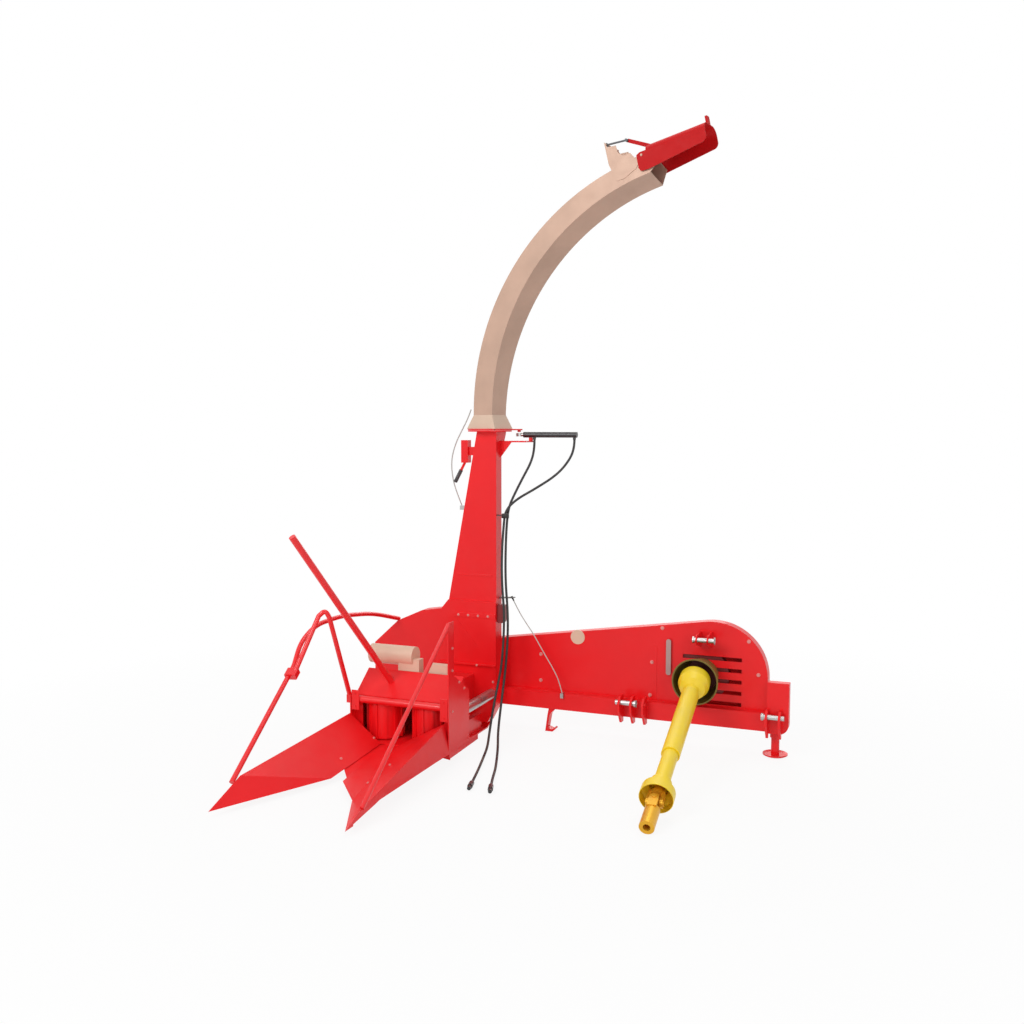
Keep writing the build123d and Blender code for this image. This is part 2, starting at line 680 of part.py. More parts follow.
def rotor():
    middle = (DRUM_FRONT + DRUM_BACK) / 2
    wheel = rod((ROTOR_X, middle - ROTOR_T / 2, ROTOR_Z), (ROTOR_X, middle + ROTOR_T / 2, ROTOR_Z), ROTOR_R)
    shaft = rod((ROTOR_X, DRUM_FRONT + WALL + SEAT, ROTOR_Z), (ROTOR_X, COVER_BACK - SHEET - SEAT, ROTOR_Z),
                ROTOR_SHAFT_R)
    return wheel + shaft


def tower_body(wall):
    # the front view drawn through the depth, cut to the side view, whose back flares out under the turntable
    front, back, top = TOWER_FRONT + wall, DRUM_BACK - wall, TOWER_TOP + (CUT if wall else 0)
    low = DRUM_TOP - (CUT if wall else 0)
    shape = outline([(TOWER_LEFT_LOW + wall, low), (TOWER_LEFT_TOP + wall, top), (DRUM_RIGHT - wall, top),
                     (DRUM_RIGHT - wall, low)])
    flare_back = TOWER_FLARE_BACK - wall
    side = outline([(front, low), (back, low), (back, TOWER_FLARE_LOW), (flare_back, TOWER_FLARE_TOP),
                    (flare_back, top), (front, top)])
    return prism_y(shape, front, TOWER_FLARE_BACK) & prism_x(side, TOWER_LEFT_LOW, DRUM_RIGHT)


def tower():
    flange = Pos(AXIS_X, AXIS_Y, TOWER_TOP - FLANGE_T) * extrude(Circle(FLANGE_R), FLANGE_T)
    return tower_body(0) + flange - tower_body(SHEET)


def tower_bracket():
    plate = block(DRUM_RIGHT, TRUNNION_X + POST_R + 1, BRACKET_Y, CYL_Y + 2 * POST_R,
                  BRACKET_Z, BRACKET_Z + PLATE)
    shape = outline([(DRUM_RIGHT, BRACKET_Z), (DRUM_RIGHT, BRACKET_Z - 90), (DRUM_RIGHT + 70, BRACKET_Z)])
    gusset = prism_y(shape, BRACKET_Y, BRACKET_Y + PLATE)
    post_low = BRACKET_Z + PLATE
    post = Pos(TRUNNION_X, CYL_Y, post_low) * extrude(Circle(POST_R), CYL_Z - BARREL_R - SEAT - post_low)
    return plate + gusset + post


def hand_lever():
    case = block(LEVER_CASE_X, LEVER_CASE_X + LEVER_CASE_WIDE, LEVER_Y - 24, LEVER_Y + 24, LEVER_CASE_LOW,
                 LEVER_CASE_TOP)
    lug = block(LEVER_CASE_X + LEVER_CASE_WIDE, TOWER_LEFT_TOP, LEVER_Y - 10, LEVER_Y + 16,
                LEVER_LUG_LOW, LEVER_LUG_LOW + 50)
    handle = rod((LEVER_CASE_X + 16, LEVER_Y, LEVER_CASE_LOW + 4), (HANDLE_END_X, LEVER_Y, HANDLE_END_Z),
                 HANDLE_R)
    return case + (lug - tower_body(0)) + handle


def valve_block():
    shape = RectangleRounded(VALVE_WIDE, VALVE_TALL, VALVE_WIDE / 3)
    return prism_y(Pos(DRUM_RIGHT + VALVE_WIDE / 2, VALVE_Z) * shape, VALVE_FRONT, VALVE_FRONT + VALVE_WIDE)


# Spout: built in its own plane, u outwards from the turntable's axis and v across, then turned to its heading


def spout_place():
    heading = math.radians(SPOUT_HEADING)
    return Plane(origin=(AXIS_X, AXIS_Y, 0), x_dir=(math.cos(heading), math.sin(heading), 0),
                 z_dir=(0, 0, 1)).location


def bend_point(radius, angle):
    return (BEND_R - radius * math.cos(math.radians(angle)), BEND_Z + radius * math.sin(math.radians(angle)))


def bend_side(v, inner, wall=0.0, push=0.0):
    # one side of the bent duct, its mouth cut to a nose
    outer_r, inner_r = BEND_R + DUCT_DEEP / 2 - wall, BEND_R - DUCT_DEEP / 2 + wall
    middle_r, end_r = inner[0] + wall, inner[1] + wall
    half = BEND_END / 2
    foot, top = bend_point(outer_r, 0), bend_point(outer_r, BEND_END)
    low, inner_foot = bend_point(end_r, BEND_END), bend_point(inner_r, 0)
    ahead = (push * math.sin(math.radians(BEND_END)), push * math.cos(math.radians(BEND_END)))
    edges = [ThreePointArc(foot, bend_point(outer_r, half), top)]
    if push:
        edges.append(Polyline(top, (top[0] + ahead[0], top[1] + ahead[1]),
                              (low[0] + ahead[0], low[1] + ahead[1]), low))
    else:
        edges.append(Polyline(top, NOSE, low))
    edges.append(ThreePointArc(low, bend_point(middle_r, BEND_MIDDLE), inner_foot))
    edges.append(Line(inner_foot, foot))
    plane = Plane(origin=(0, v, 0), x_dir=(1, 0, 0), z_dir=(0, -1, 0))
    return plane * make_face(edges)


def spout():
    # the underside is twisted, so the bend is drawn between its two unlike sides
    half = DUCT_WIDE / 2
    inner_half = half - SHEET
    ring = Rectangle(DUCT_DEEP, DUCT_WIDE) - Rectangle(DUCT_DEEP - 2 * SHEET, DUCT_WIDE - 2 * SHEET)
    bend = loft([bend_side(-half, INNER_NEAR), bend_side(half, INNER_FAR)], ruled=True)
    bend -= loft([bend_side(-inner_half, INNER_NEAR, SHEET, DUCT_DEEP),
                  bend_side(inner_half, INNER_FAR, SHEET, DUCT_DEEP)], ruled=True)
    straight = Pos(0, 0, SKIRT_TOP) * extrude(ring, BEND_Z - SKIRT_TOP)
    return spout_place() * (bend + straight)


def turntable():
    low = TOWER_TOP + 0.5
    flange = Pos(0, 0, low) * extrude(Circle(FLANGE_R), FLANGE_T)
    angle = ARM_ANGLE - SPOUT_HEADING
    arm_outline = make_hull(Circle(ARM_EYE_R + 14).edges() + (Pos(ARM_R, 0) * Circle(ARM_EYE_R)).edges())
    arm = Pos(0, 0, low) * Rot(0, 0, angle) * extrude(arm_outline, FLANGE_T)
    boss_low = CYL_Z + EYE_T / 2 + CLEAR
    boss = Rot(0, 0, angle) * (Pos(ARM_R, 0, boss_low) * extrude(Circle(PIN_R + 2), low - boss_low))
    skirt = loft([Pos(0, 0, low + FLANGE_T - 1) * Rectangle(SKIRT_WIDE, SKIRT_WIDE),
                  Pos(0, 0, SKIRT_TOP) * Rectangle(DUCT_DEEP, DUCT_WIDE)])
    inside = loft([Pos(0, 0, low - 1) * Rectangle(SKIRT_WIDE - 2 * SHEET, SKIRT_WIDE - 2 * SHEET),
                   Pos(0, 0, SKIRT_TOP) * Rectangle(DUCT_DEEP - 2 * SHEET, DUCT_WIDE - 2 * SHEET)])
    return spout_place() * (flange + arm + boss + skirt - inside)


def spout_bracket():
    # two plates on the duct's sides, which carry the deflector's pivots and a tie for its link
    shape = outline([(784, 3328), (806, 3296), (855, 3300), (868, 3258), (905, 3240), (940, 3250),
                     (966, 3222), (985, 3226), (998, 3244), (1026, 3240), (1027, 3212), (1020, 3200),
                     (984, 3180), (975, 3165), (905, 3120), (863, 3114), (815, 3203)])
    shape += Pos(PIVOT_U, PIVOT_Z) * Circle(EYE_OUT)
    half = DUCT_WIDE / 2
    sides = [prism_y(shape, half, half + BRACKET_T), prism_y(shape, -half - BRACKET_T, -half)]
    tie = rod((TIE_U, -half - BRACKET_T, TIE_Z), (TIE_U, half + BRACKET_T, TIE_Z), TIE_R)
    pins = [rod((PIVOT_U, side * half, PIVOT_Z), (PIVOT_U, side * (TROUGH_HALF + 4), PIVOT_Z), PIVOT_PIN_R)
            for side in (-1, 1)]
    return spout_place() * join(*sides, tie, *pins)


def arch(half, top, corner, low):
    # the trough's cross-section, open below
    shape = outline([(-half, low), (half, low), (half, top), (-half, top)])
    return fillet(shape.vertices().sort_by(Axis.Y)[-2:], corner)


def deflector():
    # an arched trough cut to its side view, in its own frame: x along it from the pivot, z up
    low = -TROUGH_LOW_START
    along = Plane(origin=(-TROUGH_EAR, 0, 0), x_dir=(0, 1, 0), z_dir=(1, 0, 0))
    section = (arch(TROUGH_HALF, TROUGH_TOP, TROUGH_CORNER, low - CUT)
               - arch(TROUGH_HALF - SHEET, TROUGH_TOP - SHEET, TROUGH_CORNER - SHEET, low - 2 * CUT))
    shell = extrude(along * section, TROUGH_EAR + TROUGH_END)
    side = outline([(-TROUGH_EAR, 8), (-10, 18), (TROUGH_START, 18), (TROUGH_START, TROUGH_TOP + CUT),
                    (TROUGH_END, TROUGH_TOP + CUT), (TROUGH_END, -TROUGH_LOW_END), (TROUGH_START, low),
                    (-20, low + 4), (-TROUGH_EAR, low + 24)])
    corner = side.vertices().sort_by_distance((TROUGH_END, -TROUGH_LOW_END))[0]
    shell = shell & prism_y(fillet(corner, TROUGH_END_CORNER), -TROUGH_HALF - CUT, TROUGH_HALF + CUT)
    tab = block(TROUGH_END - TAB_T, TROUGH_END, -TAB_WIDE / 2, TAB_WIDE / 2,
                TROUGH_TOP - SHEET, TROUGH_TOP + TAB_TALL)
    lever_u, lever_z = LEVER_END
    lever_shape = outline([(TROUGH_START + 2, 38), (TROUGH_START + 38, 40), (lever_u + 8, lever_z + 8),
                           (lever_u - 6, lever_z - 6)])
    lever = prism_y(lever_shape, LEVER_V - LEVER_T / 2, LEVER_V + LEVER_T / 2)
    eyes = rod((0, -TROUGH_HALF - CUT, 0), (0, TROUGH_HALF + CUT, 0), PIVOT_PIN_R + SEAT)
    whole = join(shell, tab, lever) - eyes
    return spout_place() * (Pos(PIVOT_U, 0, PIVOT_Z) * (Rot(0, -DEFLECTOR_SLOPE, 0) * whole))


def deflector_link():
    # a rod from the tie to the side of the trough's lever
    slope = math.radians(DEFLECTOR_SLOPE)
    end_u = PIVOT_U + LEVER_END[0] * math.cos(slope) - LEVER_END[1] * math.sin(slope)
    end_z = PIVOT_Z + LEVER_END[0] * math.sin(slope) + LEVER_END[1] * math.cos(slope)
    link = rod((TIE_U, LINK_V, TIE_Z), (end_u, LINK_V, end_z), LINK_R)
    stub = rod((end_u, LINK_V - LINK_R - CUT, end_z), (end_u, LEVER_V - LEVER_T / 2 - SEAT, end_z),
               LINK_R + 3)
    eye = rod((TIE_U, LINK_V - LINK_R - CUT, TIE_Z), (TIE_U, LINK_V + LINK_R + CUT, TIE_Z), TIE_R + 5)
    hole = rod((TIE_U, LINK_V - 2 * LINK_R, TIE_Z), (TIE_U, LINK_V + 2 * LINK_R, TIE_Z), TIE_R + SEAT)
    return spout_place() * (join(link, stub, eye) - hole)


# Turning cylinder


def cylinder_rod():
    x = ARM_PIN[0]
    eye = Pos(x, CYL_Y, CYL_Z - EYE_T / 2) * extrude(Circle(ROD_EYE_R) - Circle(PIN_R), EYE_T)
    shank = rod((x + ROD_EYE_R - 3, CYL_Y, CYL_Z), (BARREL_X + BARREL_LENGTH - 30, CYL_Y, CYL_Z), ROD_R)
    return eye + shank


def cylinder_barrel():
    body = rod((BARREL_X, CYL_Y, CYL_Z), (BARREL_X + BARREL_LENGTH, CYL_Y, CYL_Z), BARREL_R)
    bore = rod((BARREL_X - 1, CYL_Y, CYL_Z), (BARREL_X + BARREL_LENGTH - 12, CYL_Y, CYL_Z), ROD_R + SEAT)
    ports = [rod((BARREL_X + place, CYL_Y, CYL_Z - ROD_R - 2), (BARREL_X + place, CYL_Y, PORT_Z), PORT_R)
             for place in (PORT_NEAR, PORT_FAR)]
    return join(body, *ports) - bore


# Feed box


def side_wall(x0, upper):
    lower = [(BOX_BACK, RAIL_TOP), (RAIL_BACK, RAIL_TOP - 10), (RAIL_BACK, SIDE_LOW + 8),
             (BOX_FRONT, SIDE_LOW)]
    return prism_x(outline(upper + lower), x0, x0 + SIDE_T)


def feed_walls():
    # the right wall rises in front to the post of the guide bar
    post_back = BOX_FRONT + POST_DEEP
    with_post = [(BOX_FRONT, POST_TOP), (post_back, POST_TOP), (post_back, SLOPE_TOP), (BOX_BACK, SLOPE_LOW)]
    plain = [(BOX_FRONT, BOX_ROOF), (BOX_BACK, BOX_ROOF)]
    return Compound(children=[side_wall(BOX_RIGHT - SIDE_T, with_post), side_wall(BOX_LEFT, plain)])


def feed_case():
    x0, x1 = BOX_LEFT + SIDE_T, BOX_RIGHT - SIDE_T
    floor = block(x0, x1, BOX_FRONT, BOX_BACK, BOX_FLOOR, BOX_FLOOR + WALL)
    roof = block(x0, x1, ROOF_FRONT, BOX_BACK, BOX_ROOF - WALL, BOX_ROOF)
    rear = block(x0, x1, BOX_BACK - WALL, BOX_BACK, BOX_FLOOR, BOX_ROOF)
    mouth = block(ROLL_MIDDLE - THROAT_WIDE / 2 + WALL, ROLL_MIDDLE + THROAT_WIDE / 2 - WALL,
                  BOX_BACK - 10, BOX_BACK + 1, BOX_FLOOR + WALL, BOX_ROOF - WALL)
    posts = [block(x, x + 44, ROOF_FRONT, ROOF_FRONT + WALL, BOX_FLOOR + WALL, BOX_ROOF - WALL)
             for x in (x0, x1 - 44)]
    return join(floor, roof, rear, *posts) - mouth


def skids():
    # two runners under the feed box and the blower, on which the header stands
    front, back, low = BOX_BACK - 40, DRUM_BACK, DRUM_OUTLINE[-2][1]
    shape = outline([(front, BOX_FLOOR), (front + 40, 24), (front + 80, 0), (back - 40, 0), (back, 20),
                     (back, low), (back - SKID_T, low), (back - SKID_T, 25), (back - 44, SKID_T),
                     (front + 84, SKID_T), (front + 47, 29), (front + SKID_T, BOX_FLOOR)])
    return Compound(children=[prism_x(shape, x, x + SKID_WIDE) for x in (-1715, -1330)])


def throat_duct():
    x0, x1 = ROLL_MIDDLE - THROAT_WIDE / 2, ROLL_MIDDLE + THROAT_WIDE / 2
    outer = block(x0, x1, BOX_BACK, DRUM_FRONT, BOX_FLOOR, BOX_ROOF)
    return outer - block(x0 + WALL, x1 - WALL, BOX_BACK - CUT, DRUM_FRONT + CUT,
                         BOX_FLOOR + WALL, BOX_ROOF - WALL)


def feed_drive_tube():
    # the closed tube beside the throat, between the drum and the rolls' gears
    return rod((TUBE_X, BOX_BACK, TUBE_Z), (TUBE_X, DRUM_FRONT, TUBE_Z), TUBE_R)


def feed_roll(side):
    low, high = BOX_FLOOR + WALL + CLEAR, BAR_Z - FRONT_BAR_R - CLEAR
    shape = Circle(ROLL_CORE_R)
    rib = Pos(ROLL_CORE_R, 0) * Rectangle(2 * (ROLL_R - ROLL_CORE_R), ROLL_RIB_T)
    for n in range(ROLL_RIBS):
        shape += Rot(0, 0, 360 * n / ROLL_RIBS) * rib
    body = Pos(0, 0, low) * extrude(shape, high - low)
    shaft_length = BOX_ROOF - BOX_FLOOR - 2 * WALL - 2 * SEAT
    shaft = Pos(0, 0, BOX_FLOOR + WALL + SEAT) * extrude(Circle(ROLL_SHAFT_R), shaft_length)
    return Pos(ROLL_MIDDLE + side * ROLL_PITCH / 2, ROLL_Y, 0) * (body + shaft)


def top_guard():
    x0, x1 = BOX_LEFT + SIDE_T, BOX_RIGHT - SIDE_T
    low_y, high_y = ROOF_FRONT, -650.0
    top = BOX_ROOF + GUARD_RISE
    slant = outline([(low_y + 6, BOX_ROOF), (high_y, top - 5), (high_y, top), (low_y, BOX_ROOF)])
    sheet = prism_x(slant, x0, x1)
    ribs = [prism_x(outline([(low_y + 5, BOX_ROOF), (high_y, top - 4), (high_y, BOX_ROOF)]), x, x + WALL)
            for x in (x0, (x0 + x1) / 2, x1 - WALL)]
    return join(sheet, *ribs)


def feed_gearbox():
    case = block(GEAR_CASE_LEFT, GEAR_CASE_LEFT + GEAR_CASE_WIDE, GEAR_CASE_FRONT, BOX_BACK, BOX_ROOF,
                 GEAR_CASE_TOP)
    barrel = rod((BOX_LEFT + SIDE_T, GEAR_BARREL_Y, GEAR_BARREL_Z),
                 (GEAR_BARREL_END, GEAR_BARREL_Y, GEAR_BARREL_Z), GEAR_BARREL_R)
    small = block(SMALL_CASE_LEFT, SMALL_CASE_LEFT + SMALL_CASE_WIDE, SMALL_CASE_FRONT, BOX_BACK, BOX_ROOF,
                  SMALL_CASE_TOP)
    return join(case, barrel, small)


def front_bar():
    bar = rod((BOX_LEFT + SIDE_T, BAR_Y, BAR_Z), (BOX_RIGHT - SIDE_T, BAR_Y, BAR_Z), FRONT_BAR_R)
    return bar


GUIDE_LINE = [(-1846, DRUM_FRONT + 8, 634), (-1900, -330, 700), (-1925, -640, 735), (-1945, -880, 720),
              (-1950, -1020, 650), (-1927, -1120, 545), (-1867, -1742, 118)]


def pusher_pole():
    pole = rod((-1567, -706, 395), (-1804, -1300, 1253), POLE_R)
    return largest(pole - top_guard())


def guide_arch():
    low, high = Vector(*GUIDE_LINE[-2]), Vector(*GUIDE_LINE[-1])
    along = (high - low).normalized()
    held = low + along * CLAMP_PLACE
    foot_x = BOX_LEFT - GUIDE_R - SEAT
    points = [(foot_x, BAR_Y, BAR_Z), (-1790, -985, 792), (-1804, -1002, 832), (-1832, -1022, 802),
              (held.X + 27, held.Y, held.Z)]
    arch = bent_tube(points, [16, 16, 16], GUIDE_R)
    foot = block(foot_x - GUIDE_R, BOX_LEFT - SEAT, BAR_Y - 20, BAR_Y + 24, BAR_Z - 22, BAR_Z + 22)
    clamp_plane = Plane(origin=held, x_dir=(1, 0, 0), z_dir=along)
    clamp = extrude(clamp_plane * (Pos(14, 0) * RectangleRounded(66, 40, 8)), CLAMP_HALF, both=True)
    hole = extrude(clamp_plane * Circle(GUIDE_R + SEAT), CLAMP_HALF + 10, both=True)
    return arch + foot + clamp - hole


def guide_left():
    radii = corner_radii(GUIDE_LINE)
    radii[-1] = GUIDE_END_BEND
    tube = bent_tube(GUIDE_LINE, radii, GUIDE_R)
    return largest(tube - divider_left() - drum_housing())


def guide_right():
    # a straight bar from the right divider's crest up to the post of the feed box's wall
    post = block(BOX_RIGHT - SIDE_T, BOX_RIGHT, BOX_FRONT, BOX_FRONT + POST_DEEP, SIDE_LOW, POST_TOP)
    top = (BOX_RIGHT - SIDE_T / 2, BOX_FRONT + GUIDE_END_IN, POST_TOP - GUIDE_END_IN)
    return largest(rod((-1159.2, -1738, 88), top, THIN_GUIDE_R) - divider_right() - post)


# Dividers


def hood(box, planes):
    # a block of x, y, z limits cut by planes, each through three points and with the body below it
    body = block(*box)
    for a, b, c, moved_in in planes:
        a, b, c = Vector(*a), Vector(*b), Vector(*c)
        out = (b - a).cross(c - a).normalized()
        body = split(body, bisect_by=Plane(origin=a - out * moved_in, z_dir=out), keep=Keep.BOTTOM)
    return body


def hollow_hood(box, sides, under):
    # a sheet hood with a back plate, open below
    outer = hood(box, [(*plane, 0) for plane in sides] + [(*plane, 0) for plane in under])
    x0, x1, y0, y1, z0, z1 = box
    return outer - hood((x0, x1, y0, y1 - SHEET, z0 - 2 * SHEET, z1), [(*plane, SHEET) for plane in sides])


def divider_left():
    tip, inner = (-1876, -1907, TIP_Z), (-1600, -1290, TIP_Z)
    crest_front, crest_back = (-1858, -1768, 132), (BOX_LEFT, BOX_FRONT, CREST_Z)
    fold = (-1837, -1677, 135)
    slope = (crest_front, inner, crest_back)
    skirt = (tip, inner, fold)
    wall = (tip, crest_front, crest_back)
    under = ((-1559, BOX_FRONT, BOX_FLOOR), inner, (BOX_LEFT, BOX_FRONT, SIDE_LOW))
    return hollow_hood((-1900, -1500, -1950, BOX_FRONT, TIP_Z, 300), [slope, skirt, wall], [under])


def divider_right():
    tip, inner = (-1163, -1878, TIP_Z), (-1335, -1531, TIP_Z)
    crest_front, crest_back = (-1160, -1755, 82), (-1175, BOX_FRONT, CREST_Z)
    slope = (crest_front, crest_back, inner)
    facet = (tip, crest_front, inner)
    front_wall = (tip, (-1155, -1580, 76), crest_front)
    wall = (crest_front, (-1152, -1200, 80), crest_back)
    inner_back = -1447
    under = ((inner_back, BOX_FRONT, BOX_FLOOR), (BOX_RIGHT, BOX_FRONT, SIDE_LOW), inner)
    around = (-1500, -1130, -1950, BOX_FRONT, TIP_Z, 300)
    shell = hollow_hood(around, [slope, facet, front_wall, wall], [under])
    # the outer wall stops above the floor, and a flat plate lies beside the row
    below = outline([(tip[1], 0), (tip[1], TIP_Z), (-1580, 76), (-993, 82), (BOX_FRONT - SHEET - CUT, 82),
                     (BOX_FRONT - SHEET - CUT, 0)])
    shell -= prism_x(below, -1164, -1100)
    plan = outline([(inner[0] + PLATE_LAP, inner[1]), (-1499, -1343), (-1530, BOX_FRONT),
                    (inner_back + PLATE_LAP, BOX_FRONT)])
    level = outline([(inner[1], TIP_Z), (BOX_FRONT, BOX_FLOOR), (BOX_FRONT, BOX_FLOOR - WALL),
                     (inner[1], TIP_Z - WALL)])
    return shell + (extrude(plan, BOX_ROOF) & prism_x(level, BOX_LEFT, BOX_RIGHT))


# Hoses and cables


HOSE_A = [(BARREL_X + PORT_FAR, CYL_Y, PORT_Z), (BARREL_X + PORT_FAR, CYL_Y, 1690), (-795, 62, 1620),
          (-862, 30, 1530), (-985, -20, 1445), (-1085, -60, 1385), (-1143, -88, 1320),
          (-1150, -96, 1240), (-1158, -106, 1080), (-1156, -112, 900), (-1138, -118, 720), (-1138, -128, 560),
          (-1146, -142, 400), (-1163, -172, 270), (-1158, -250, 150),
          (-1130, -360, 62), (-1085, -490, 24), (-1045, -640, 12), (-1000, -790, 14), (-962, -930, 12),
          (-930, -1045, 16)]
HOSE_B = [(BARREL_X + PORT_NEAR, CYL_Y, PORT_Z), (BARREL_X + PORT_NEAR, CYL_Y, 1680), (-1037, 58, 1600),
          (-1075, 20, 1510), (-1105, -30, 1420), (-1132, -62, 1340),
          (-1138, -80, 1240), (-1142, -88, 1080), (-1140, -94, 900), (-1122, -100, 720), (-1120, -108, 560),
          (-1126, -124, 400), (-1132, -152, 270), (-1118, -230, 150),
          (-1085, -340, 64), (-1030, -470, 24), (-965, -640, 12), (-905, -800, 14), (-862, -940, 12),
          (-822, -1050, 16)]
CABLE_LOOP = [(-1390, -25, 1912), (-1409, -25, 1862), (-1446, -25, 1796), (-1492, -28, 1710),
              (-1520, -30, 1610), (-1512, -31, 1505), (-1482, -35, 1414), (-1446, -40, 1340)]
LOOP_CLIP = Vector(*CABLE_LOOP[-1])
COVER_CABLE = [(-1131, -6, 790), (-1094, -9, 722), (-1048, -12, 655), (-998, -13, 590), (-955, -13, 520),
               (-912, -12, 450), (-868, -10, 382), (-832, -8, 310), (-815, -8, 244)]


def hose(points, radius):
    radii = corner_radii(points)
    path = FilletPolyline(*points, radius=radii)
    plane = Plane(origin=path @ 0, z_dir=path % 0)
    tube = sweep(plane * Circle(radius), path=path)
    print("cord", round(path.length, 1), "volume ratio",
          round(tube.volume / (path.length * math.pi * radius ** 2), 4), [round(r) for r in radii])
    return tube


def cable_clips():
    # a clip on the tower's sloping side under the loop, and one on the beam's top under the cover cable
    slope = (TOWER_LEFT_TOP - TOWER_LEFT_LOW) / (TOWER_TOP - DRUM_TOP)
    x, y, top = LOOP_CLIP.X - CLIP_HALF, LOOP_CLIP.Y, LOOP_CLIP.Z - CLIP_GAP
    wall_x = TOWER_LEFT_LOW + (top - DRUM_TOP) * slope
    low = top - CLIP_TALL
    shape = outline([(x, top), (wall_x, top), (wall_x - CLIP_TALL * slope, low), (x, low)])
    tower_clip = prism_y(shape, y - CLIP_HALF, y + CLIP_HALF)
    x, y, z = COVER_CABLE[-1]
    beam_top = BEAM_Z + BEAM_SIZE
    plate = block(x - CLIP_HALF, x + CLIP_HALF, y - CLIP_HALF, 2 * CLIP_HALF, beam_top, z - CLIP_GAP / 2)
    foot = block(x - CLIP_HALF, x + CLIP_HALF, y - CLIP_HALF, 0, beam_top - CLIP_TALL, beam_top)
    return Compound(children=[tower_clip, plate + foot])


def coupler(points):
    start, before = Vector(points[-1]), Vector(points[-2])
    end = Plane(origin=start, z_dir=start - before)
    body = extrude(end * Circle(COUPLER_R), COUPLER_BODY)
    nose = extrude(end.offset(COUPLER_BODY) * Circle(COUPLER_NOSE_R), COUPLER_NOSE)
    return body + nose


PARTS = {
    "main_beam": main_beam, "end_box": end_box, "stand_leg": stand_leg, "hook_rest": hook_rest,
    "hitch_brackets": hitch_brackets, "hitch_pins": hitch_pins, "top_link_bracket": top_link_bracket,
    "top_link_pin": top_link_pin, "belt_cover": belt_cover, "cover_disc": cover_disc,
    "storage_bar": storage_bar, "ring_guard": ring_guard, "input_shaft": input_shaft,
    "joint_fork": joint_fork, "input_pulley": input_pulley, "drive_joint": drive_joint,
    "drive_guard_near": drive_guard_near,
    "drive_shaft_near": drive_shaft_near, "drive_guard_far": drive_guard_far, "far_yoke": far_yoke,
    "drum_housing": drum_housing, "rotor": rotor, "tower": tower, "tower_bracket": tower_bracket,
    "hand_lever": hand_lever, "valve_block": valve_block, "spout": spout, "turntable": turntable,
    "spout_bracket": spout_bracket, "deflector": deflector, "deflector_link": deflector_link,
    "cylinder_rod": cylinder_rod, "cylinder_barrel": cylinder_barrel, "feed_walls": feed_walls,
    "feed_case": feed_case, "throat_duct": throat_duct, "feed_drive_tube": feed_drive_tube, "skids": skids,
    "feed_roll_outer": lambda: feed_roll(-1),
    "feed_roll_inner": lambda: feed_roll(1), "top_guard": top_guard, "feed_gearbox": feed_gearbox,
    "front_bar": front_bar, "pusher_pole": pusher_pole, "guide_arch": guide_arch, "guide_left": guide_left,
    "guide_right": guide_right, "divider_left": divider_left, "divider_right": divider_right,
    "hose_a": lambda: hose(HOSE_A, HOSE_R), "hose_b": lambda: hose(HOSE_B, HOSE_R),
    "coupler_a": lambda: coupler(HOSE_A), "coupler_b": lambda: coupler(HOSE_B),
    "cable_loop": lambda: hose(CABLE_LOOP, CABLE_R), "cover_cable": lambda: hose(COVER_CABLE, THREAD_R),
    "cable_clips": cable_clips}

os.makedirs("parts", exist_ok=True)
for name, make in PARTS.items():
    export_step(Pos(-ORIGIN_X, -ORIGIN_Y, 0) * make(), f"parts/{name}.step")
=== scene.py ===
import bpy, bmesh, json, math
from mathutils import Matrix, Vector


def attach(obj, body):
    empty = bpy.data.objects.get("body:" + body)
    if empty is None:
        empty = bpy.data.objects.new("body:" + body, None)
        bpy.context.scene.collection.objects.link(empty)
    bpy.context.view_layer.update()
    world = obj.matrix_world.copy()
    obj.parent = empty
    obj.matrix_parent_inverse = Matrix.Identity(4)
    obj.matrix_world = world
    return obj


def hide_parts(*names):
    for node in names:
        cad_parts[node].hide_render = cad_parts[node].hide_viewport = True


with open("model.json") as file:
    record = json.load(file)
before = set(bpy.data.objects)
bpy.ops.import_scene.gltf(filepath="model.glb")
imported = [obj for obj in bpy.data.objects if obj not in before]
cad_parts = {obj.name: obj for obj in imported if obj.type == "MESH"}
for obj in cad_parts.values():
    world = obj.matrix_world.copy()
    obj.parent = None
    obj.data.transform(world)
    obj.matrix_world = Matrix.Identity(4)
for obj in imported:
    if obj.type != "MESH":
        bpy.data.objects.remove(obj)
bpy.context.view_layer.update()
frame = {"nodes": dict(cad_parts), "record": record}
scene = bpy.context.scene
print("frame loaded,", len(frame["nodes"]), "nodes")

# The machine's axes in mm: x from the input shaft, y from the beam's front face, z from the floor
machineShift = Vector((760.5, 892.5, 0))


def place(x, y, z):
    return (Vector((x, y, z)) + machineShift) / 1000


# Camera

cameraLook = {"x": 1211, "y": -5756, "z": 1790, "heading": 22.19, "drop": 4.465, "lens": 36.91, "sensor": 36}


def makeCamera(look):
    data = bpy.data.cameras.new("photoCamera")
    data.lens, data.sensor_width = look["lens"], look["sensor"]
    camera = bpy.data.objects.new("photoCamera", data)
    camera.location = place(look["x"], look["y"], look["z"])
    camera.rotation_euler = (math.radians(90 - look["drop"]), 0, math.radians(look["heading"]))
    scene.collection.objects.link(camera)
    scene.camera = camera


makeCamera(cameraLook)
print("camera set")

# Shader nodes


def feed(tree, value, socket):
    # a plain value is set on the socket, and another node's output is linked to it
    if isinstance(value, (int, float, tuple)):
        socket.default_value = value
    else:
        tree.links.new(value, socket)


def mathNode(tree, operation, *values, clamp=False):
    node = tree.nodes.new("ShaderNodeMath")
    node.operation, node.use_clamp = operation, clamp
    for socket, value in zip(node.inputs, values):
        feed(tree, value, socket)
    return node.outputs[0]


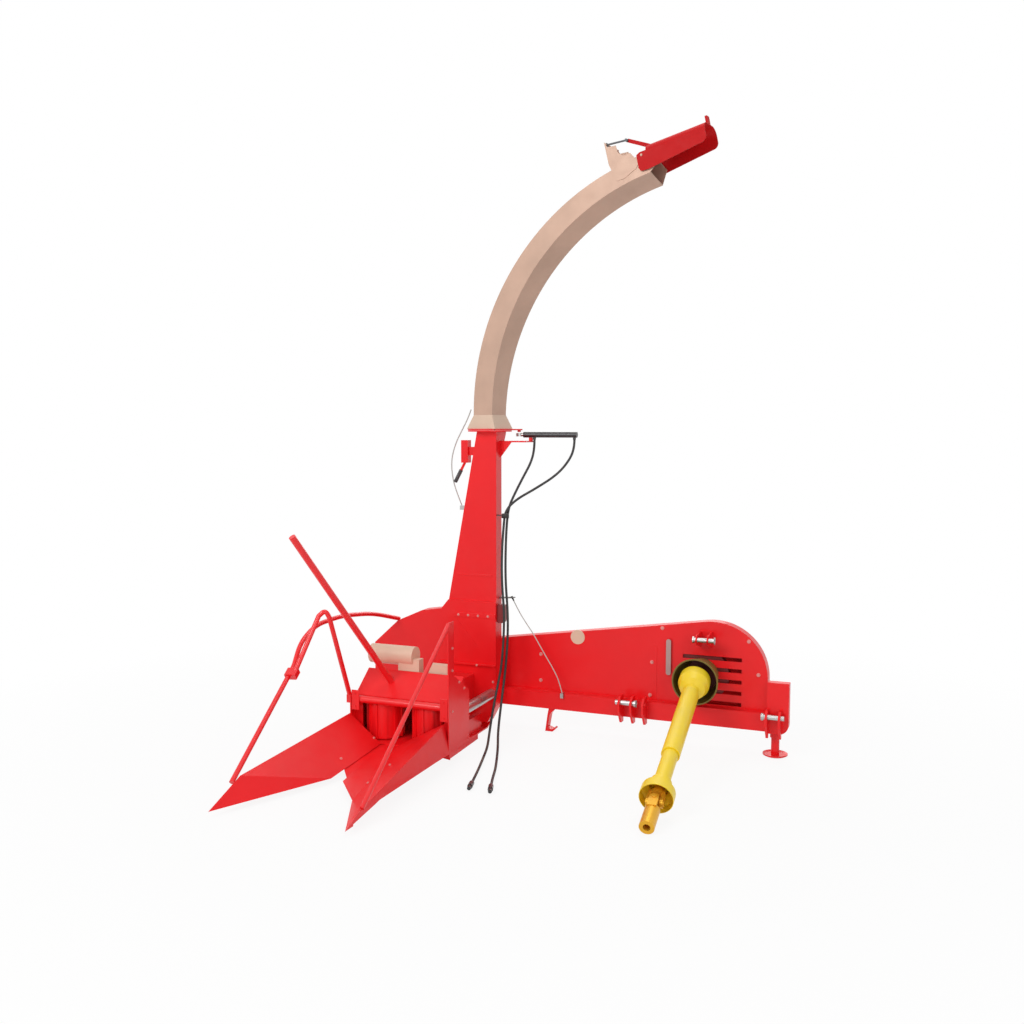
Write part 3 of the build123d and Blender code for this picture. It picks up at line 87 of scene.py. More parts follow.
def noiseNode(tree, scale, detail, roughness):
    node = tree.nodes.new("ShaderNodeTexNoise")
    for label, value in (("Scale", scale), ("Detail", detail), ("Roughness", roughness)):
        feed(tree, value, node.inputs[label])
    coords = tree.nodes.new("ShaderNodeTexCoord")
    tree.links.new(coords.outputs["Object"], node.inputs["Vector"])
    return node.outputs["Fac"]


def rangeNode(tree, value, low, high, outLow=0.0, outHigh=1.0):
    node = tree.nodes.new("ShaderNodeMapRange")
    values = {"Value": value, "From Min": low, "From Max": high, "To Min": outLow, "To Max": outHigh}
    for label, number in values.items():
        feed(tree, number, node.inputs[label])
    return node.outputs[0]


def mixColour(tree, factor, first, second):
    # the node's colour sockets share their names with others, so all are taken by number
    node = tree.nodes.new("ShaderNodeMix")
    node.data_type = "RGBA"
    for index, value in ((0, factor), (6, first), (7, second)):
        feed(tree, value, node.inputs[index])
    return node.outputs[2]


def heightNode(tree):
    split = tree.nodes.new("ShaderNodeSeparateXYZ")
    coords = tree.nodes.new("ShaderNodeTexCoord")
    tree.links.new(coords.outputs["Object"], split.inputs[0])
    return split.outputs["Z"]


def seenNode(tree):
    # 1 for a ray from the camera, from a glossy reflection or through glass
    path = tree.nodes.new("ShaderNodeLightPath")
    bent = mathNode(tree, "MAXIMUM", path.outputs["Is Glossy Ray"], path.outputs["Is Transmission Ray"])
    return mathNode(tree, "MAXIMUM", path.outputs["Is Camera Ray"], bent)


# Shader groups


def newGroup(name, inputs, outputName, outputKind="NodeSocketFloat"):
    group = bpy.data.node_groups.new(name, "ShaderNodeTree")
    for label, value in inputs.items():
        kind = "NodeSocketColor" if isinstance(value, tuple) else "NodeSocketFloat"
        socket = group.interface.new_socket(label, in_out="INPUT", socket_type=kind)
        socket.default_value = value
    group.interface.new_socket(outputName, in_out="OUTPUT", socket_type=outputKind)
    start, end = group.nodes.new("NodeGroupInput"), group.nodes.new("NodeGroupOutput")
    return group, start, end


edgeLook = {"samples": 3, "flat": 0.995, "sharp": 0.86, "detail": 4.0, "grain": 0.6, "low": 0.5, "high": 0.66}


def edgeGroup(look):
    # a mask that is white along sharp edges, broken up by noise, where a coat wears first
    group, start, end = newGroup("edgeWear", {"Width": 0.002, "Patch": 40.0, "Amount": 0.6}, "Mask")
    soft = group.nodes.new("ShaderNodeBevel")
    soft.samples = look["samples"]
    group.links.new(start.outputs["Width"], soft.inputs["Radius"])
    plain = group.nodes.new("ShaderNodeNewGeometry")
    dot = group.nodes.new("ShaderNodeVectorMath")
    dot.operation = "DOT_PRODUCT"
    group.links.new(soft.outputs[0], dot.inputs[0])
    group.links.new(plain.outputs["Normal"], dot.inputs[1])
    edge = rangeNode(group, dot.outputs["Value"], look["flat"], look["sharp"])
    noise = noiseNode(group, start.outputs["Patch"], look["detail"], look["grain"])
    worn = mathNode(group, "MULTIPLY", edge, rangeNode(group, noise, look["low"], look["high"]))
    group.links.new(mathNode(group, "MULTIPLY", worn, start.outputs["Amount"]), end.inputs["Mask"])
    return group


dustLook = {"side": 0.55, "top": 1.0, "detail": 5.0, "grain": 0.65, "low": 0.42, "high": 0.72}


def dustGroup(look):
    # dust that settles on faces that look up, and a little everywhere
    group, start, end = newGroup("dustFilm", {"Patch": 9.0, "Up": 0.3, "Film": 0.06}, "Mask")
    coords = group.nodes.new("ShaderNodeTexCoord")
    split = group.nodes.new("ShaderNodeSeparateXYZ")
    group.links.new(coords.outputs["Normal"], split.inputs[0])
    level = rangeNode(group, split.outputs["Z"], look["side"], look["top"])
    noise = noiseNode(group, start.outputs["Patch"], look["detail"], look["grain"])
    patch = rangeNode(group, noise, look["low"], look["high"])
    settled = mathNode(group, "MULTIPLY", mathNode(group, "MULTIPLY", level, patch), start.outputs["Up"])
    everywhere = mathNode(group, "MULTIPLY", patch, start.outputs["Film"])
    group.links.new(mathNode(group, "ADD", settled, everywhere, clamp=True), end.inputs["Mask"])
    return group


peelLook = {"detail": 2.0, "grain": 0.5}


def peelGroup(look):
    # the height of a sprayed or moulded skin: a fine ripple over a slow wave
    group, start, end = newGroup("skinRipple", {"Fine": 320.0, "Slow": 6.0, "Wave": 0.5}, "Height")
    fine = noiseNode(group, start.outputs["Fine"], look["detail"], look["grain"])
    slow = noiseNode(group, start.outputs["Slow"], look["detail"], look["grain"])
    wave = mathNode(group, "MULTIPLY", slow, start.outputs["Wave"])
    group.links.new(mathNode(group, "ADD", fine, wave), end.inputs["Height"])
    return group


toneLook = {"detail": 4.0, "grain": 0.55, "low": 0.3, "high": 0.7}


def toneGroup(look):
    # a slow lightening and darkening of one colour
    inputs = {"Colour": (0.5, 0.5, 0.5, 1), "Patch": 3.0, "Swing": 0.08}
    group, start, end = newGroup("toneDrift", inputs, "Colour", "NodeSocketColor")
    noise = noiseNode(group, start.outputs["Patch"], look["detail"], look["grain"])
    darkest = mathNode(group, "SUBTRACT", 1.0, start.outputs["Swing"])
    lightest = mathNode(group, "ADD", 1.0, start.outputs["Swing"])
    level = rangeNode(group, noise, look["low"], look["high"], darkest, lightest)
    shift = group.nodes.new("ShaderNodeHueSaturation")
    group.links.new(level, shift.inputs["Value"])
    group.links.new(start.outputs["Colour"], shift.inputs["Color"])
    group.links.new(shift.outputs[0], end.inputs["Colour"])
    return group


groups = {"edge": edgeGroup(edgeLook), "dust": dustGroup(dustLook), "peel": peelGroup(peelLook),
          "tone": toneGroup(toneLook)}


def groupNode(tree, key, **values):
    node = tree.nodes.new("ShaderNodeGroup")
    node.node_tree = groups[key]
    for label, value in values.items():
        node.inputs[label.capitalize()].default_value = value
    return node.outputs[0]


# Finishes


def colour(red, green, blue):
    def linear(value):
        value = value / 255
        return value / 12.92 if value <= 0.04045 else ((value + 0.055) / 1.055) ** 2.4
    return (linear(red), linear(green), linear(blue), 1)


# what a finish has where its own entry says nothing else
plainLook = {"patch": 3.0, "swing": 0.05, "metal": 0.0, "coat": 0.0, "coatRough": 0.12, "specular": 0.5,
             "roughPatch": 14.0, "roughDetail": 4.0, "roughGrain": 0.6, "roughLow": 0.3, "roughHigh": 0.7,
             "roughSwing": 0.05, "wear": 0.0, "wearWidth": 0.002, "wearPatch": 60.0, "lowBlur": 0.0005,
             "dustUp": 0.2, "dustFilm": 0.04, "dustPatch": 9.0, "dustRough": 0.35,
             "dustColour": colour(176, 160, 138), "bump": 0.08, "bumpDepth": 0.0006, "fine": 320.0,
             "slow": 6.0, "wave": 0.5}


def finish(name, ownLook):
    # one finish: toned colour, worn edges, dust, rippled skin
    look = plainLook | ownLook
    material = bpy.data.materials.new(name)
    material.use_nodes = True
    tree = material.node_tree
    shader = tree.nodes["Principled BSDF"]
    base = groupNode(tree, "tone", colour=look["colour"], patch=look["patch"], swing=look["swing"])
    noise = noiseNode(tree, look["roughPatch"], look["roughDetail"], look["roughGrain"])
    rough = rangeNode(tree, noise, look["roughLow"], look["roughHigh"],
                      look["rough"] - look["roughSwing"], look["rough"] + look["roughSwing"])
    if "lowColour" in look:
        low = rangeNode(tree, heightNode(tree), look["lowTop"] + look["lowBlur"],
                        look["lowTop"] - look["lowBlur"])
        base = mixColour(tree, low, base, look["lowColour"])
    if look["wear"] > 0:
        worn = groupNode(tree, "edge", width=look["wearWidth"], patch=look["wearPatch"], amount=look["wear"])
        base = mixColour(tree, worn, base, look["under"])
    dust = groupNode(tree, "dust", patch=look["dustPatch"], up=look["dustUp"], film=look["dustFilm"])
    base = mixColour(tree, dust, base, look["dustColour"])
    dusty = mathNode(tree, "MULTIPLY", dust, look["dustRough"])
    tree.links.new(base, shader.inputs["Base Color"])
    tree.links.new(mathNode(tree, "ADD", rough, dusty, clamp=True), shader.inputs["Roughness"])
    for label, key in (("Metallic", "metal"), ("Coat Weight", "coat"), ("Coat Roughness", "coatRough"),
                       ("Specular IOR Level", "specular")):
        shader.inputs[label].default_value = look[key]
    bump = tree.nodes.new("ShaderNodeBump")
    bump.inputs["Strength"].default_value = look["bump"]
    bump.inputs["Distance"].default_value = look["bumpDepth"]
    ripple = groupNode(tree, "peel", fine=look["fine"], slow=look["slow"], wave=look["wave"])
    tree.links.new(ripple, bump.inputs["Height"])
    tree.links.new(bump.outputs[0], shader.inputs["Normal"])
    return material


finishLooks = {
    "redPaint": {"colour": colour(240, 18, 26), "rough": 0.38, "coat": 0.12, "specular": 0.34, "wear": 0.16,
                 "wearWidth": 0.001, "under": colour(176, 90, 84), "swing": 0.04, "dustUp": 0.03,
                 "dustFilm": 0.008, "wave": 0.8, "bump": 0.05},
    "tubeRed": {"colour": colour(240, 20, 28), "rough": 0.34, "coat": 0.25, "swing": 0.04, "dustUp": 0.03,
                "dustFilm": 0.01, "bump": 0.05},
    # painted shade: the input pulley behind the cover's vent slots is coloured dark red to stand for the
    # shade in the slots
    "paintedShadeRed": {"colour": colour(112, 16, 18), "rough": 0.5, "swing": 0.08, "dustUp": 0.05},
    # painted shade: the deflector's red is darker than the other red paint, standing in for its dim near side
    # and the shade inside the trough
    "deflectorPaintedShadeRed": {"colour": colour(196, 14, 18), "rough": 0.58, "specular": 0.2, "swing": 0.06,
                     "dustUp": 0.02, "dustFilm": 0.005, "bump": 0.05},
    "linkGrey": {"colour": colour(92, 94, 98), "rough": 0.5, "metal": 0.2, "dustUp": 0.05},
    # painted highlight: the bolt heads are coloured pale pink to stand for the glint on each head
    "boltPaintedHighlight": {"colour": colour(230, 146, 142), "rough": 0.4, "metal": 0.2, "dustUp": 0.05},
    "dullBar": {"colour": colour(176, 146, 142), "rough": 0.48, "metal": 0.4, "swing": 0.1, "dustUp": 0.15},
    "chutePaint": {"colour": colour(194, 160, 140), "rough": 0.46, "metal": 0.25, "wear": 0.4, "swing": 0.07,
                   "under": colour(140, 132, 124), "bump": 0.06, "patch": 5.0},
    "turntablePaint": {"colour": colour(214, 186, 164), "rough": 0.42, "metal": 0.1, "swing": 0.06,
                       "dustUp": 0.1, "bump": 0.06, "lowColour": colour(226, 32, 38), "lowTop": 1.7975},
    "yokeGold": {"colour": colour(222, 166, 40), "rough": 0.34, "metal": 0.55, "swing": 0.12, "wear": 0.3,
                 "under": colour(120, 84, 30), "dustUp": 0.1},
    "gripDark": {"colour": colour(62, 60, 62), "rough": 0.5, "swing": 0.06, "dustUp": 0.1},
    "valveRed": {"colour": colour(128, 26, 30), "rough": 0.42, "coat": 0.15, "swing": 0.1, "dustUp": 0.15},
    "beigePaint": {"colour": colour(228, 192, 168), "rough": 0.45, "wear": 0.3,
                   "under": colour(140, 132, 124)},
    "darkSteel": {"colour": colour(74, 70, 68), "rough": 0.5, "metal": 0.8, "swing": 0.12},
    "steel": {"colour": colour(186, 186, 184), "rough": 0.3, "metal": 0.95, "swing": 0.08, "dustUp": 0.1},
    "guardYellow": {"colour": colour(247, 214, 34), "rough": 0.38, "coat": 0.1, "swing": 0.04, "bump": 0.05,
                    "fine": 500.0, "dustUp": 0.1},
    "ringOlive": {"colour": colour(112, 96, 30), "rough": 0.45, "swing": 0.1},
    "blackHose": {"colour": colour(34, 33, 35), "rough": 0.52, "swing": 0.08, "fine": 900.0, "bump": 0.12,
                  "dustUp": 0.25, "dustFilm": 0.05},
    "greyCable": {"colour": colour(188, 186, 182), "rough": 0.45, "swing": 0.06, "fine": 900.0, "bump": 0.05},
    "blackPaint": {"colour": colour(38, 37, 40), "rough": 0.34, "coat": 0.2, "swing": 0.08, "wear": 0.3,
                   "under": colour(120, 116, 110), "dustUp": 0.15},
}
finishes = {name: finish(name, look) for name, look in finishLooks.items()}
print("finishes made:", len(finishes))

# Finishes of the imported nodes, by their slots or by their own names

slotFinishes = {"red_paint": "redPaint", "chute_paint": "chutePaint", "beige_paint": "beigePaint",
                "dark_steel": "darkSteel", "steel": "steel", "guard_yellow": "guardYellow",
                "ring_olive": "ringOlive", "black_hose": "blackHose", "grey_cable": "greyCable",
                "black_paint": "blackPaint", "yoke_gold": "yokeGold"}
nodeFinishes = {"turntable": "turntablePaint", "coupler_a": "blackPaint", "coupler_b": "blackPaint",
                "valve_block": "valveRed", "feed_drive_tube": "steel", "storage_bar": "dullBar",
                # the deflector's and the input pulley's darker reds are painted shade
                "deflector": "deflectorPaintedShadeRed", "deflector_link": "linkGrey",
                "input_pulley": "paintedShadeRed", "guide_left": "tubeRed", "guide_right": "tubeRed",
                "guide_arch": "tubeRed", "pusher_pole": "tubeRed", "front_bar": "tubeRed"}


def dressNodes():
    slots = {part["node"]: part["material_slot"] for part in frame["record"]["subparts"]}
    for name, obj in frame["nodes"].items():
        material = finishes[nodeFinishes.get(name, slotFinishes[slots[name]])]
        for slot in obj.material_slots:
            slot.material = material


dressNodes()
print("nodes dressed")

# Cords: the same routes as the solids, as smooth curves

cordLooks = {
    "hoseA": {"node": "hose_a", "pieces": ["coupler_a"], "length": 2.660, "diameter": 0.014,
              "finish": "blackHose", "farEnd": "connector",
              "points": [(-774.19, 77.1, 1733), (-774.19, 77.1, 1690), (-795, 62, 1620), (-862, 30, 1530),
                         (-985, -20, 1445), (-1085, -60, 1385), (-1143, -88, 1320), (-1150, -96, 1240),
                         (-1158, -106, 1080), (-1156, -112, 900), (-1138, -118, 720), (-1138, -128, 560),
                         (-1146, -142, 400), (-1163, -172, 270), (-1158, -250, 150), (-1130, -360, 62),
                         (-1085, -490, 24), (-1045, -640, 12), (-1000, -790, 14), (-962, -930, 12),
                         (-930, -1045, 16)]},
    "hoseB": {"node": "hose_b", "pieces": ["coupler_b"], "length": 2.560, "diameter": 0.014,
              "finish": "blackHose", "farEnd": "connector",
              "points": [(-1024.19, 77.1, 1733), (-1024.19, 77.1, 1680), (-1037, 58, 1600),
                         (-1075, 20, 1510), (-1105, -30, 1420), (-1132, -62, 1340), (-1138, -80, 1240),
                         (-1142, -88, 1080), (-1140, -94, 900), (-1122, -100, 720), (-1120, -108, 560),
                         (-1126, -124, 400), (-1132, -152, 270), (-1118, -230, 150), (-1085, -340, 64),
                         (-1030, -470, 24), (-965, -640, 12), (-905, -800, 14), (-862, -940, 12),
                         (-822, -1050, 16)]},
    "controlLoop": {"node": "cable_loop", "pieces": [], "length": 0.612, "diameter": 0.007,
                    "finish": "greyCable", "farEnd": "object",
                    "points": [(-1390, -25, 1912), (-1409, -25, 1862), (-1446, -25, 1796),
                               (-1492, -28, 1710), (-1520, -30, 1610), (-1512, -31, 1505),
                               (-1482, -35, 1414), (-1446, -40, 1340)]},
    "coverCable": {"node": "cover_cable", "pieces": [], "length": 0.634, "diameter": 0.006,
                   "finish": "greyCable", "farEnd": "object",
                   "points": [(-1131, -6, 790), (-1094, -9, 722), (-1048, -12, 655), (-998, -13, 590),
                              (-955, -13, 520), (-912, -12, 450), (-868, -10, 382), (-832, -8, 310),
                              (-815, -8, 244)]},
}
curveLook = {"order": 3, "steps": 8, "roundness": 5}


def cordCurve(name, look):
    curve = bpy.data.curves.new(name, "CURVE")
    curve.dimensions = "3D"
    spline = curve.splines.new("NURBS")
    spline.points.add(len(look["points"]) - 1)
    for point, spot in zip(spline.points, look["points"]):
        point.co = (*place(*spot), 1)
    spline.order_u = curveLook["order"]
    spline.use_endpoint_u = True
    spline.resolution_u = curveLook["steps"]
    curve.bevel_depth = look["diameter"] / 2
    curve.bevel_resolution = curveLook["roundness"]
    curve.use_fill_caps = True
    curve.materials.append(finishes[look["finish"]])
    obj = bpy.data.objects.new(name, curve)
    scene.collection.objects.link(obj)
    return obj


def makeCords():
    for name, look in cordLooks.items():
        cord = cordCurve(name, look)
        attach(cord, "frame")
        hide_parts(look["node"])


makeCords()
print("cords laid")

# Small fittings, each standing on a face of the machine; their sizes are in millimetres

frontward, sideward, upward = (0, -1, 0), (1, 0, 0), (0, 0, 1)


def newPiece(name, bm, body, finishName, smooth=False):
    bmesh.ops.recalc_face_normals(bm, faces=bm.faces[:])
    mesh = bpy.data.meshes.new(name)
    bm.to_mesh(mesh)
    bm.free()
    for face in mesh.polygons:
        face.use_smooth = smooth
    mesh.materials.append(finishes[finishName])
    piece = bpy.data.objects.new(name, mesh)
    scene.collection.objects.link(piece)
    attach(piece, body)


def faceMatrix(spot, normal):
    turn = Vector(normal).normalized().to_track_quat("Z", "Y").to_matrix().to_4x4()
    return Matrix.Translation(place(*spot)) @ turn


def bevelEdges(bm, edges, size):
    bmesh.ops.bevel(bm, geom=edges, offset=size / 1000, affect="EDGES", segments=2, profile=0.5, material=-1)


def edgesAround(verts):
    return {edge for vert in verts for edge in vert.link_edges}


def addDisc(bm, matrix, width, low, high, sides, bevel):
    # a prism along the face's normal, its outer rim bevelled
    lift = Matrix.Translation((0, 0, (low + high) / 2000))
    made = bmesh.ops.create_cone(bm, cap_ends=True, cap_tris=False, segments=sides, radius1=width / 2000,
                                 radius2=width / 2000, depth=(high - low) / 1000, matrix=matrix @ lift)
    top = matrix @ Vector((0, 0, high / 1000))
    normal = (matrix.to_3x3() @ Vector(upward)).normalized()
    nearly = 1e-5
    rim = [edge for edge in edgesAround(made["verts"])
           if all(abs((vert.co - top).dot(normal)) < nearly for vert in edge.verts)]
    bevelEdges(bm, rim, bevel)


def addStrip(bm, start, end, normal, width, rise, bevel):
    # a flat strip on a face, along the line from start to end, sunk a little and with its edges rounded
    sunk = 0.6
    first, last = place(*start), place(*end)
    along, out = (last - first).normalized(), Vector(normal).normalized()
    side = out.cross(along).normalized()
    axes = Matrix((along, side, along.cross(side))).transposed().to_4x4()
    lift = Matrix.Translation((0, 0, (rise - sunk) / 2000))
    size = Matrix.Diagonal(((last - first).length, width / 1000, (rise + sunk) / 1000, 1))
    middle = Matrix.Translation((first + last) / 2)
    made = bmesh.ops.create_cube(bm, size=1.0, matrix=middle @ axes @ lift @ size)
    bevelEdges(bm, list(edgesAround(made["verts"])), bevel)


boltForm = {"sunk": 0.3, "washerSides": 24, "washerBevel": 0.3, "overlap": 0.2, "headSides": 6,
            "headBevel": 0.6}
boltLook = boltForm | {"washer": 22, "washerRise": 2.0, "head": 16, "rise": 9.0}
smallBoltLook = boltForm | {"washer": 15, "washerRise": 1.5, "head": 11, "rise": 6.0}


def addBolt(bm, spot, normal, look):
    matrix = faceMatrix(spot, normal)
    addDisc(bm, matrix, look["washer"], -look["sunk"], look["washerRise"], look["washerSides"],
            look["washerBevel"])
    addDisc(bm, matrix, look["head"], look["washerRise"] - look["overlap"], look["rise"], look["headSides"],
            look["headBevel"])


coverY = 50
drumY = -110
drumStripRise = 6.0
ledgeY = drumY - 22.2
towerY = -100
wallX = -1150
leftSlope, rightSlope = (0.611, -0.165, 0.774), (-0.469, -0.165, 0.868)

coverBolts = [(x, coverY, z) for x, z in ((-289, 462), (-299, 269), (-230, 664), (259, 623), (314, 440),
                                          (-970, 453), (-970, 295))]
drumBolts = [(x, drumY - drumStripRise, 689) for x in (-1436, -1372, -1308, -1244)]
drumBolts += [(-1214, drumY, 297), (-1310, ledgeY, 395)]
wallBolts = [(wallX, y, z) for y, z in ((-722, 440), (-658, 393), (-806, 640), (-806, 520), (-806, 300))]
dividerBolts = [((-1597.7, -857.3, 120.2), leftSlope), ((-1631.4, -1142.9, 86.0), leftSlope),
                ((-1357.5, -1339.9, 54.2), rightSlope), ((-1316.3, -1190.2, 104.9), rightSlope)]


# the bolt heads take the pale pink finish, a painted highlight
def makeBolts():
    bm = bmesh.new()
    for spot in coverBolts:
        addBolt(bm, spot, frontward, boltLook)
    newPiece("coverBolts", bm, "frame", "boltPaintedHighlight")
    bm = bmesh.new()
    for spot in drumBolts:
        addBolt(bm, spot, frontward, smallBoltLook)
    for spot in wallBolts:
        addBolt(bm, spot, sideward, smallBoltLook)
    for spot, normal in dividerBolts:
        addBolt(bm, spot, normal, smallBoltLook)
    newPiece("headerBolts", bm, "frame", "boltPaintedHighlight")


seamBevel = 0.8
seamLooks = {
    "drumSeams": [{"start": (-1470, drumY, 689), "end": (-1198, drumY, 689), "wide": 26,
                   "rise": drumStripRise},
                  {"start": (-1462, drumY, 672), "end": (-1311, drumY, 500), "wide": 5, "rise": 1.6}],
    "towerSeam": [{"start": (-1452, towerY, 930), "end": (-1224, towerY, 930), "wide": 12, "rise": 3.0}],
    "coverSeam": [{"start": (-271, coverY, 246), "end": (-271, coverY, 560), "wide": 22, "rise": 2.0}],
}


def makeSeams():
    for name, seams in seamLooks.items():
        bm = bmesh.new()
        for seam in seams:
            # never more than a third of the seam's rise
            bevel = min(seamBevel, seam["rise"] / 3)
            addStrip(bm, seam["start"], seam["end"], frontward, seam["wide"], seam["rise"], bevel)
        newPiece(name, bm, "frame", "redPaint")


barEndLook = {"y": -843, "rise": 5.0, "bevel": 1.2, "boltInset": 18, "boltLift": 4.5,
              "plates": [{"left": -1741, "right": -1695, "low": 262, "high": 372},
                         {"left": -1204, "right": -1159, "low": 250, "high": 372}]}


def makeBarEnds(look):
    # the plates that hold the front bar, with their bolts
    bm = bmesh.new()
    for plate in look["plates"]:
        x = (plate["left"] + plate["right"]) / 2
        addStrip(bm, (x, look["y"], plate["low"]), (x, look["y"], plate["high"]), frontward,
                 plate["right"] - plate["left"], look["rise"], look["bevel"])
        for z in (plate["low"] + look["boltInset"], plate["high"] - look["boltInset"]):
            addBolt(bm, (x, look["y"] - look["boltLift"], z), frontward, smallBoltLook)
    newPiece("barEnds", bm, "frame", "redPaint")


def addRing(bm, matrix, radius, thick, steps=28, sides=10):
    # a round ring about the matrix's z axis
    side = Matrix.Translation((radius / 1000, 0, 0)) @ Matrix.Rotation(math.radians(90), 4, "X")
    loop = bmesh.ops.create_circle(bm, segments=sides, radius=thick / 2000, matrix=matrix @ side)
    axis = (matrix.to_3x3() @ Vector(upward)).normalized()
    edges = list(edgesAround(loop["verts"]))
    bmesh.ops.spin(bm, geom=loop["verts"] + edges, cent=matrix.translation, axis=axis, dvec=(0, 0, 0),
                   angle=math.tau, steps=steps, use_merge=True, use_duplicate=False)


hitchSpan = 825
lowerPinX = hitchSpan / 2 - 62
lynchLook = {"spots": [(lowerPinX, -60, 238), (-lowerPinX, -60, 238), (91, -60, 632)], "width": 7,
             "half": 20, "sides": 12, "bevel": 0.6, "ringRadius": 19, "ringThick": 3.2, "ringForward": 3,
             "ringUp": 2}


def makeLynchPins(look):
    bm = bmesh.new()
    for x, y, z in look["spots"]:
        for low, high in ((-look["half"], 0), (0, look["half"])):
            addDisc(bm, faceMatrix((x, y, z), upward), look["width"], low, high, look["sides"], look["bevel"])
        ring = faceMatrix((x, y - look["ringForward"], z + look["ringUp"]), sideward)
        addRing(bm, ring, look["ringRadius"], look["ringThick"])
    newPiece("lynchPins", bm, "frame", "steel", smooth=True)


bandLook = {"spot": (-1144, -86, 1288),
            "band": {"width": 44, "low": -13, "high": 13, "sides": 32, "bevel": 2.5},
            "strap": {"start": (-1198, -86, 1288), "end": (-1160, -86, 1288), "width": 16, "rise": 5,
                      "bevel": 1.0}}


def makeHoseBand(look):
    # a band round both hoses where they come together beside the tower, and its strap to the wall
    bm = bmesh.new()
    addDisc(bm, faceMatrix(look["spot"], upward), **look["band"])
    addStrip(bm, normal=upward, **look["strap"])
    newPiece("hoseBand", bm, "frame", "blackHose", smooth=True)


gripLook = {"start": (-1446, -46, 1552), "end": (-1486, -46, 1478.5), "width": 23, "sides": 20, "bevel": 3.0}


def makeGrip(look):
    # the sleeve on the hand lever's rod
    bm = bmesh.new()
    along = Vector(look["end"]) - Vector(look["start"])
    addDisc(bm, faceMatrix(look["start"], along), look["width"], 0, along.length, look["sides"],
            look["bevel"])
    newPiece("leverGrip", bm, "frame", "gripDark", smooth=True)


def addSheet(bm, outline, shift):
    # a sheet between an outline and the same outline moved by its thickness
    near = [bm.verts.new(place(*spot)) for spot in outline]
    far = [bm.verts.new(place(*(Vector(spot) + Vector(shift)))) for spot in outline]
    bm.faces.new(near)
    bm.faces.new(far[::-1])
    for index in range(len(near)):
        following = (index + 1) % len(near)
        bm.faces.new((near[index], far[index], far[following], near[following]))


slotPanLook = {"shift": (0, 0, -3),
               "outline": [(-1604, -1160, 43), (-1478, -1330, 41), (-1500, -1085, 63), (-1515, -833, 88),
                           (-1573, -833, 89), (-1589, -1006, 65)]}
bellyPlateLook = {"shift": (-3, 0, 0),
                  "outline": [(-1296, -628, 92), (-1296, -592, 30), (-1296, -548, 8), (-1296, -96, 8),
                              (-1296, -96, 96), (-1296, -590, 104)]}


def makeSheet(name, look):
    bm = bmesh.new()
    addSheet(bm, look["outline"], look["shift"])
    bmesh.ops.triangulate(bm, faces=[face for face in bm.faces if len(face.verts) > 4])
    newPiece(name, bm, "frame", "redPaint")


cableTabLook = {"outline": [(-1196.5, -62, 796), (-1118, -24, 796), (-1116, 4, 796), (-1136, 8, 796),
                            (-1196.5, -22, 796)], "shift": (0, 0, -4), "back": 12,
                "nut": {"width": 13, "low": 0, "high": 16, "sides": 6, "bevel": 0.8},
                "sleeve": {"width": 9, "low": 15, "high": 30, "sides": 16, "bevel": 1.0}}


def makeCableTab(look):
    # the tab on the tower's side that holds the upper end of the cable over the cover
    bm = bmesh.new()
    addSheet(bm, look["outline"], look["shift"])
    start, following = (Vector(spot) for spot in cordLooks["coverCable"]["points"][:2])
    along = following - start
    matrix = faceMatrix(start - along.normalized() * look["back"], along)
    addDisc(bm, matrix, **look["nut"])
    addDisc(bm, matrix, **look["sleeve"])
    newPiece("cableTab", bm, "frame", "darkSteel")


makeBolts()
makeSeams()
# the pan closes the row's slot below, and the plate the underside's flank above the inner skid
makeSheet("slotPan", slotPanLook)
makeSheet("bellyPlate", bellyPlateLook)
makeCableTab(cableTabLook)
makeBarEnds(barEndLook)
makeLynchPins(lynchLook)
makeHoseBand(bandLook)
makeGrip(gripLook)
print("small fittings placed")

# Floor, lights and background

plainWhite = (1, 1, 1, 1)
floorLook = {"half": 14.0, "colour": colour(236, 236, 235), "rough": 0.9, "white": 0.9, "whiteFrom": 1.6,
             "whiteTo": 4.2}


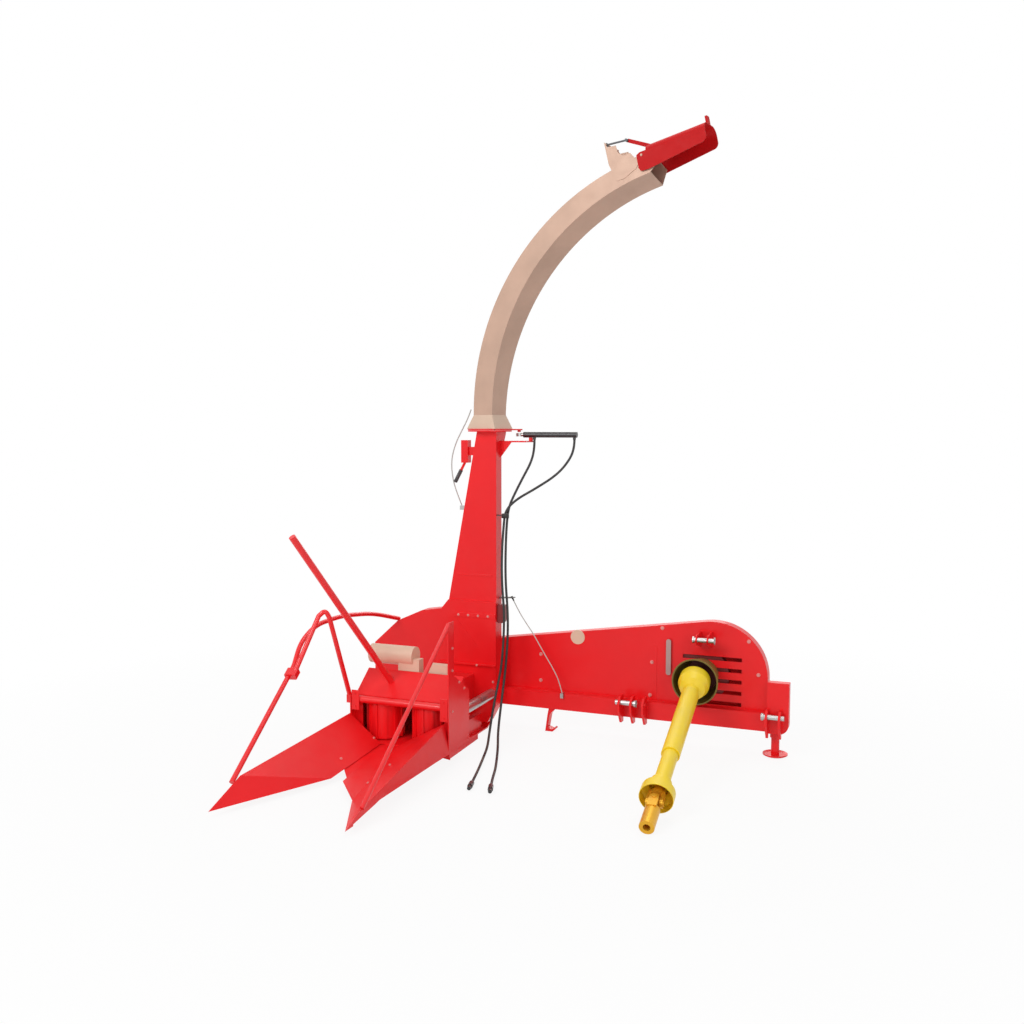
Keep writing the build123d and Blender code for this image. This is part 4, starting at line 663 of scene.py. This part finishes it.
def makeFloor(look):
    bm = bmesh.new()
    bmesh.ops.create_grid(bm, x_segments=1, y_segments=1, size=look["half"])
    mesh = bpy.data.meshes.new("studioFloor")
    bm.to_mesh(mesh)
    bm.free()
    floor = bpy.data.objects.new("studioFloor", mesh)
    scene.collection.objects.link(floor)
    material = bpy.data.materials.new("studioFloor")
    material.use_nodes = True
    tree = material.node_tree
    shader = tree.nodes["Principled BSDF"]
    shader.inputs["Base Color"].default_value = look["colour"]
    shader.inputs["Roughness"].default_value = look["rough"]
    glow = tree.nodes.new("ShaderNodeEmission")
    glow.inputs["Color"].default_value = plainWhite
    # the floor turns quite white away from the machine, so that it meets the background without an edge
    coords = tree.nodes.new("ShaderNodeTexCoord")
    reach = tree.nodes.new("ShaderNodeVectorMath")
    reach.operation = "LENGTH"
    tree.links.new(coords.outputs["Object"], reach.inputs[0])
    white = rangeNode(tree, reach.outputs["Value"], look["whiteFrom"], look["whiteTo"], look["white"], 1.0)
    blend = tree.nodes.new("ShaderNodeMixShader")
    tree.links.new(mathNode(tree, "MULTIPLY", seenNode(tree), white), blend.inputs[0])
    tree.links.new(shader.outputs[0], blend.inputs[1])
    tree.links.new(glow.outputs[0], blend.inputs[2])
    tree.links.new(blend.outputs[0], tree.nodes["Material Output"].inputs["Surface"])
    floor.data.materials.append(material)


lightLooks = {
    "keyLight": {"spot": (-2.6, -6.0, 5.2), "aim": (0.0, 0.2, 1.0), "size": 3.2, "power": 250},
    "fillLight": {"spot": (4.6, -4.6, 3.0), "aim": (0.0, 0.4, 1.0), "size": 3.6, "power": 80},
    "topLight": {"spot": (0.5, 1.8, 6.8), "aim": (0.0, 0.6, 0.8), "size": 4.0, "power": 110},
    "rearLight": {"spot": (-1.0, 6.5, 3.8), "aim": (0.0, 0.6, 1.0), "size": 3.0, "power": 80},
}


def makeLight(name, look):
    data = bpy.data.lights.new(name, "AREA")
    data.shape, data.size, data.energy = "SQUARE", look["size"], look["power"]
    lamp = bpy.data.objects.new(name, data)
    lamp.location = look["spot"]
    lamp.rotation_euler = (Vector(look["aim"]) - Vector(look["spot"])).to_track_quat("-Z", "Y").to_euler()
    scene.collection.objects.link(lamp)


worldLook = {"fill": 0.4, "seen": 1.0}


def makeWorld(look):
    # a soft fill from all sides, behind which the camera sees plain white
    world = bpy.data.worlds.new("studioWorld")
    scene.world = world
    world.use_nodes = True
    tree = world.node_tree
    fill = tree.nodes["Background"]
    white = tree.nodes.new("ShaderNodeBackground")
    for node, strength in ((fill, look["fill"]), (white, look["seen"])):
        node.inputs["Color"].default_value = plainWhite
        node.inputs["Strength"].default_value = strength
    blend = tree.nodes.new("ShaderNodeMixShader")
    tree.links.new(seenNode(tree), blend.inputs[0])
    tree.links.new(fill.outputs[0], blend.inputs[1])
    tree.links.new(white.outputs[0], blend.inputs[2])
    tree.links.new(blend.outputs[0], tree.nodes["World Output"].inputs["Surface"])


makeFloor(floorLook)
for lightName, lightLook in lightLooks.items():
    makeLight(lightName, lightLook)
makeWorld(worldLook)
scene.view_settings.view_transform = "Standard"
print("studio set")
